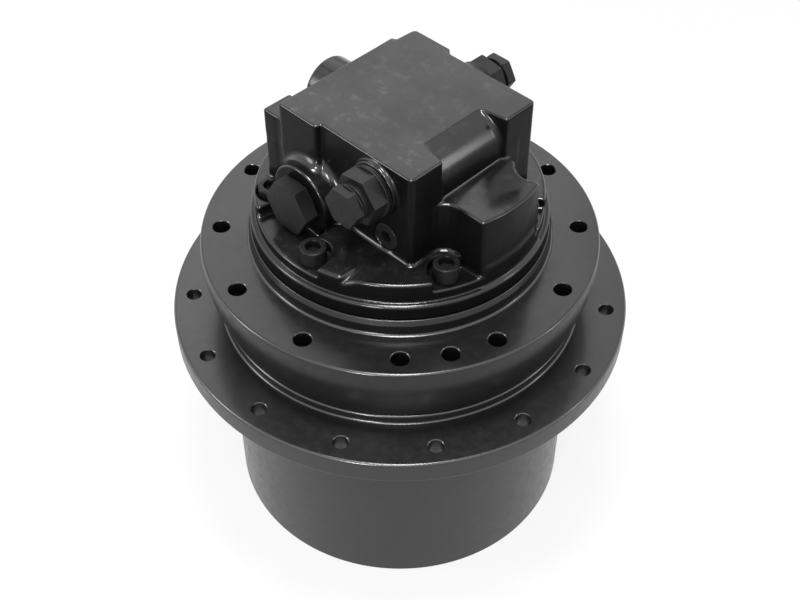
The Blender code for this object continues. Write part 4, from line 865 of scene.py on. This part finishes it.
cover_paint = satin_paint(
    "cover_paint", gloss=0.07, deep=0.004, dusty=0.035, rough=(0.28, 0.38), film_share=0.38, edge_share=0.85,
)
cells, quads, slopes = skin(cover)
points = (cells * GRID + np.array([x.min(), y.min(), z.min()])) * MM
normals = slopes / np.maximum(np.linalg.norm(slopes, axis=1), 1e-6)[:, None]
mesh = bpy.data.meshes.new("valve_cover")
mesh.from_pydata(points.tolist(), [], quads.tolist())
mesh.shade_smooth()
mesh.normals_split_custom_set_from_vertices(normals.tolist())
mesh.materials.append(cover_paint)
valve_cover = bpy.data.objects.new("valve_cover", mesh)
scene.collection.objects.link(valve_cover)
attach(valve_cover, "spindle_side")
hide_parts("rear_cover")

# Cover screws: seven M12 socket head cap screws that hold the cover on the spindle. Steel with black oxide,
# sunk in their pockets round the deck.
HEAD_UNDER_Z = 266.3
HEAD_TOP_Z = 278.2
SCREW_SOCKET_AF = 10.0
SCREW_SOCKET_DEPTH = 6.0
SCREW_SECTION = [
    (0.3, 228.0, 0.0), (4.2, 228.0, 0.0), (5.0, 229.0, 0.0), (5.0, HEAD_UNDER_Z, 0.2), (8.8, HEAD_UNDER_Z, 0.3),
    (8.8, HEAD_TOP_Z, 1.0), (0.3, HEAD_TOP_Z, 0.0),
]
MOUTH_SECTION = [
    (0.2, HEAD_TOP_Z - 1.2), (4.9, HEAD_TOP_Z - 0.5), (6.0, HEAD_TOP_Z + 0.6), (0.2, HEAD_TOP_Z + 0.6),
]
for number, angle in enumerate(COVER_ANGLES, 1):
    place = on_circle(COVER_CIRCLE_R, angle)
    screw = turned("cap_screw_%d" % number, rolled(SCREW_SECTION), 48, True, place)
    socket = socket_tool(SCREW_SOCKET_AF, HEAD_TOP_Z - SCREW_SOCKET_DEPTH, HEAD_TOP_Z + 1.0, place)
    machine(screw, "DIFFERENCE", socket)
    machine(screw, "DIFFERENCE", turned("mouth", MOUTH_SECTION, 48, True, place))
    complete(screw, oxide, "spindle_side", ["cover_screw_%d" % number])

# Spool caps: hexagon screw plugs with a washer face that close the two ends of the counterbalance bore.
# Turned and milled from bar, black oxide, screwed home on the spool bosses.
TO_FRONT = Matrix.Rotation(radians(90), 4, "X")
TO_REAR = Matrix.Rotation(radians(-90), 4, "X")
CAP_ROUND = 96
CAP_AF = 34.0
HEXAGON_CREASE = 20.0


def hexagon_bar(name, across_flats, low, high, place, turn=0.0, chamfer=0.8, lower_chamfer=False):
    """Hexagon with its corners turned off by a cone at the outer end, and at the inner one if asked."""
    corner = across_flats / sqrt(3)
    flat = corner - chamfer
    drop = chamfer * tan(radians(30))
    section = [(0.3, low - 1), (corner + 1, low - 1)]
    if lower_chamfer:
        section = [(0.3, low), (flat, low), (corner + 0.5, low + drop + 0.3)]
    section += [(corner + 1, high - drop - 0.5), (flat, high), (0.3, high)]
    made = prism(name, hexagon(across_flats, turn), low, high, place)
    return machine(made, "INTERSECT", turned("cone", section, CAP_ROUND, True, place))


for name, side, seat in (("front", TO_FRONT, SPOOL_SEAT_Y[0]), ("rear", TO_REAR, SPOOL_SEAT_Y[1])):
    place = Matrix.Translation((SPOOL[0], 0, SPOOL[1])) @ side
    cap = hexagon_bar("spool_plug_" + name, CAP_AF, seat + 1.4, seat + 12.0, place)
    stem = rolled([
        (9.0, seat - 9.0, 0.3), (12.2, seat - 9.0, 0.4), (12.2, seat + 0.3, 0.2), (16.6, seat + 0.3, 0.3),
        (16.6, seat + 2.0, 0.0), (9.0, seat + 2.0, 0.0),
    ])
    machine(cap, "UNION", turned("stem", stem, CAP_ROUND, True, place))
    complete(cap, oxide, "spindle_side", ["spool_cap_" + name], HEXAGON_CREASE)

# Relief valves: cartridges screwed into the block, with a collar, a large hexagon to drive them, a turned
# neck and a small lock nut over the setting screw. Black oxide.
VALVE_AF = 31.3
VALVE_TURN = 8.0
NUT_AF = 24.6
for name, side, centre, seat in (
    ("front", TO_FRONT, FRONT_VALVE, VALVE_SEAT_Y[0]), ("rear", TO_REAR, REAR_VALVE, VALVE_SEAT_Y[1]),
):
    place = Matrix.Translation((centre[0], 0, centre[1])) @ side
    valve = hexagon_bar("relief_cartridge_" + name, VALVE_AF, seat + 3.2, seat + 15.0, place, VALVE_TURN, 0.9)
    stem = rolled([
        (0.3, seat - 27.0, 0.0), (8.2, seat - 27.0, 0.6), (8.2, seat + 0.3, 0.0), (17.6, seat + 0.3, 0.5),
        (18.0, seat + 3.9, 0.7), (13.0, seat + 3.9, 0.0), (13.0, seat + 12.0, 0.0), (12.4, seat + 12.0, 0.0),
        (12.4, seat + 17.5, 1.0), (11.2, seat + 18.4, 0.5), (11.2, seat + 19.2, 0.4), (13.6, seat + 19.6, 0.4),
        (13.6, seat + 20.7, 0.3), (10.0, seat + 20.7, 0.0), (10.0, seat + 22.0, 0.0), (0.3, seat + 22.0, 0.0),
    ])
    machine(valve, "UNION", turned("stem", stem, CAP_ROUND, True, place))
    machine(valve, "UNION", hexagon_bar("nut", NUT_AF, seat + 20.4, seat + 27.0, place, 0.0, 0.7, True))
    complete(valve, oxide, "spindle_side", ["relief_valve_" + name], HEXAGON_CREASE)

# Gallery plug: screw plug with a hexagon socket that closes a drilled oil passage in the front face of the
# block. Steel with black oxide, screwed in flush.
PLUG_SECTION = [(0.3, 41.3, 0.0), (9.7, 41.3, 0.4), (9.7, 52.7, 0.7), (0.3, 52.7, 0.0)]
place = Matrix.Translation((GALLERY[0], 0, GALLERY[1])) @ TO_FRONT
plug = turned("gallery_screw_plug", rolled(PLUG_SECTION), 64, True, place)
machine(plug, "DIFFERENCE", socket_tool(SOCKET_AF, 47.0, 54.0, place))
complete(plug, oxide, "spindle_side", ["gallery_plug"])
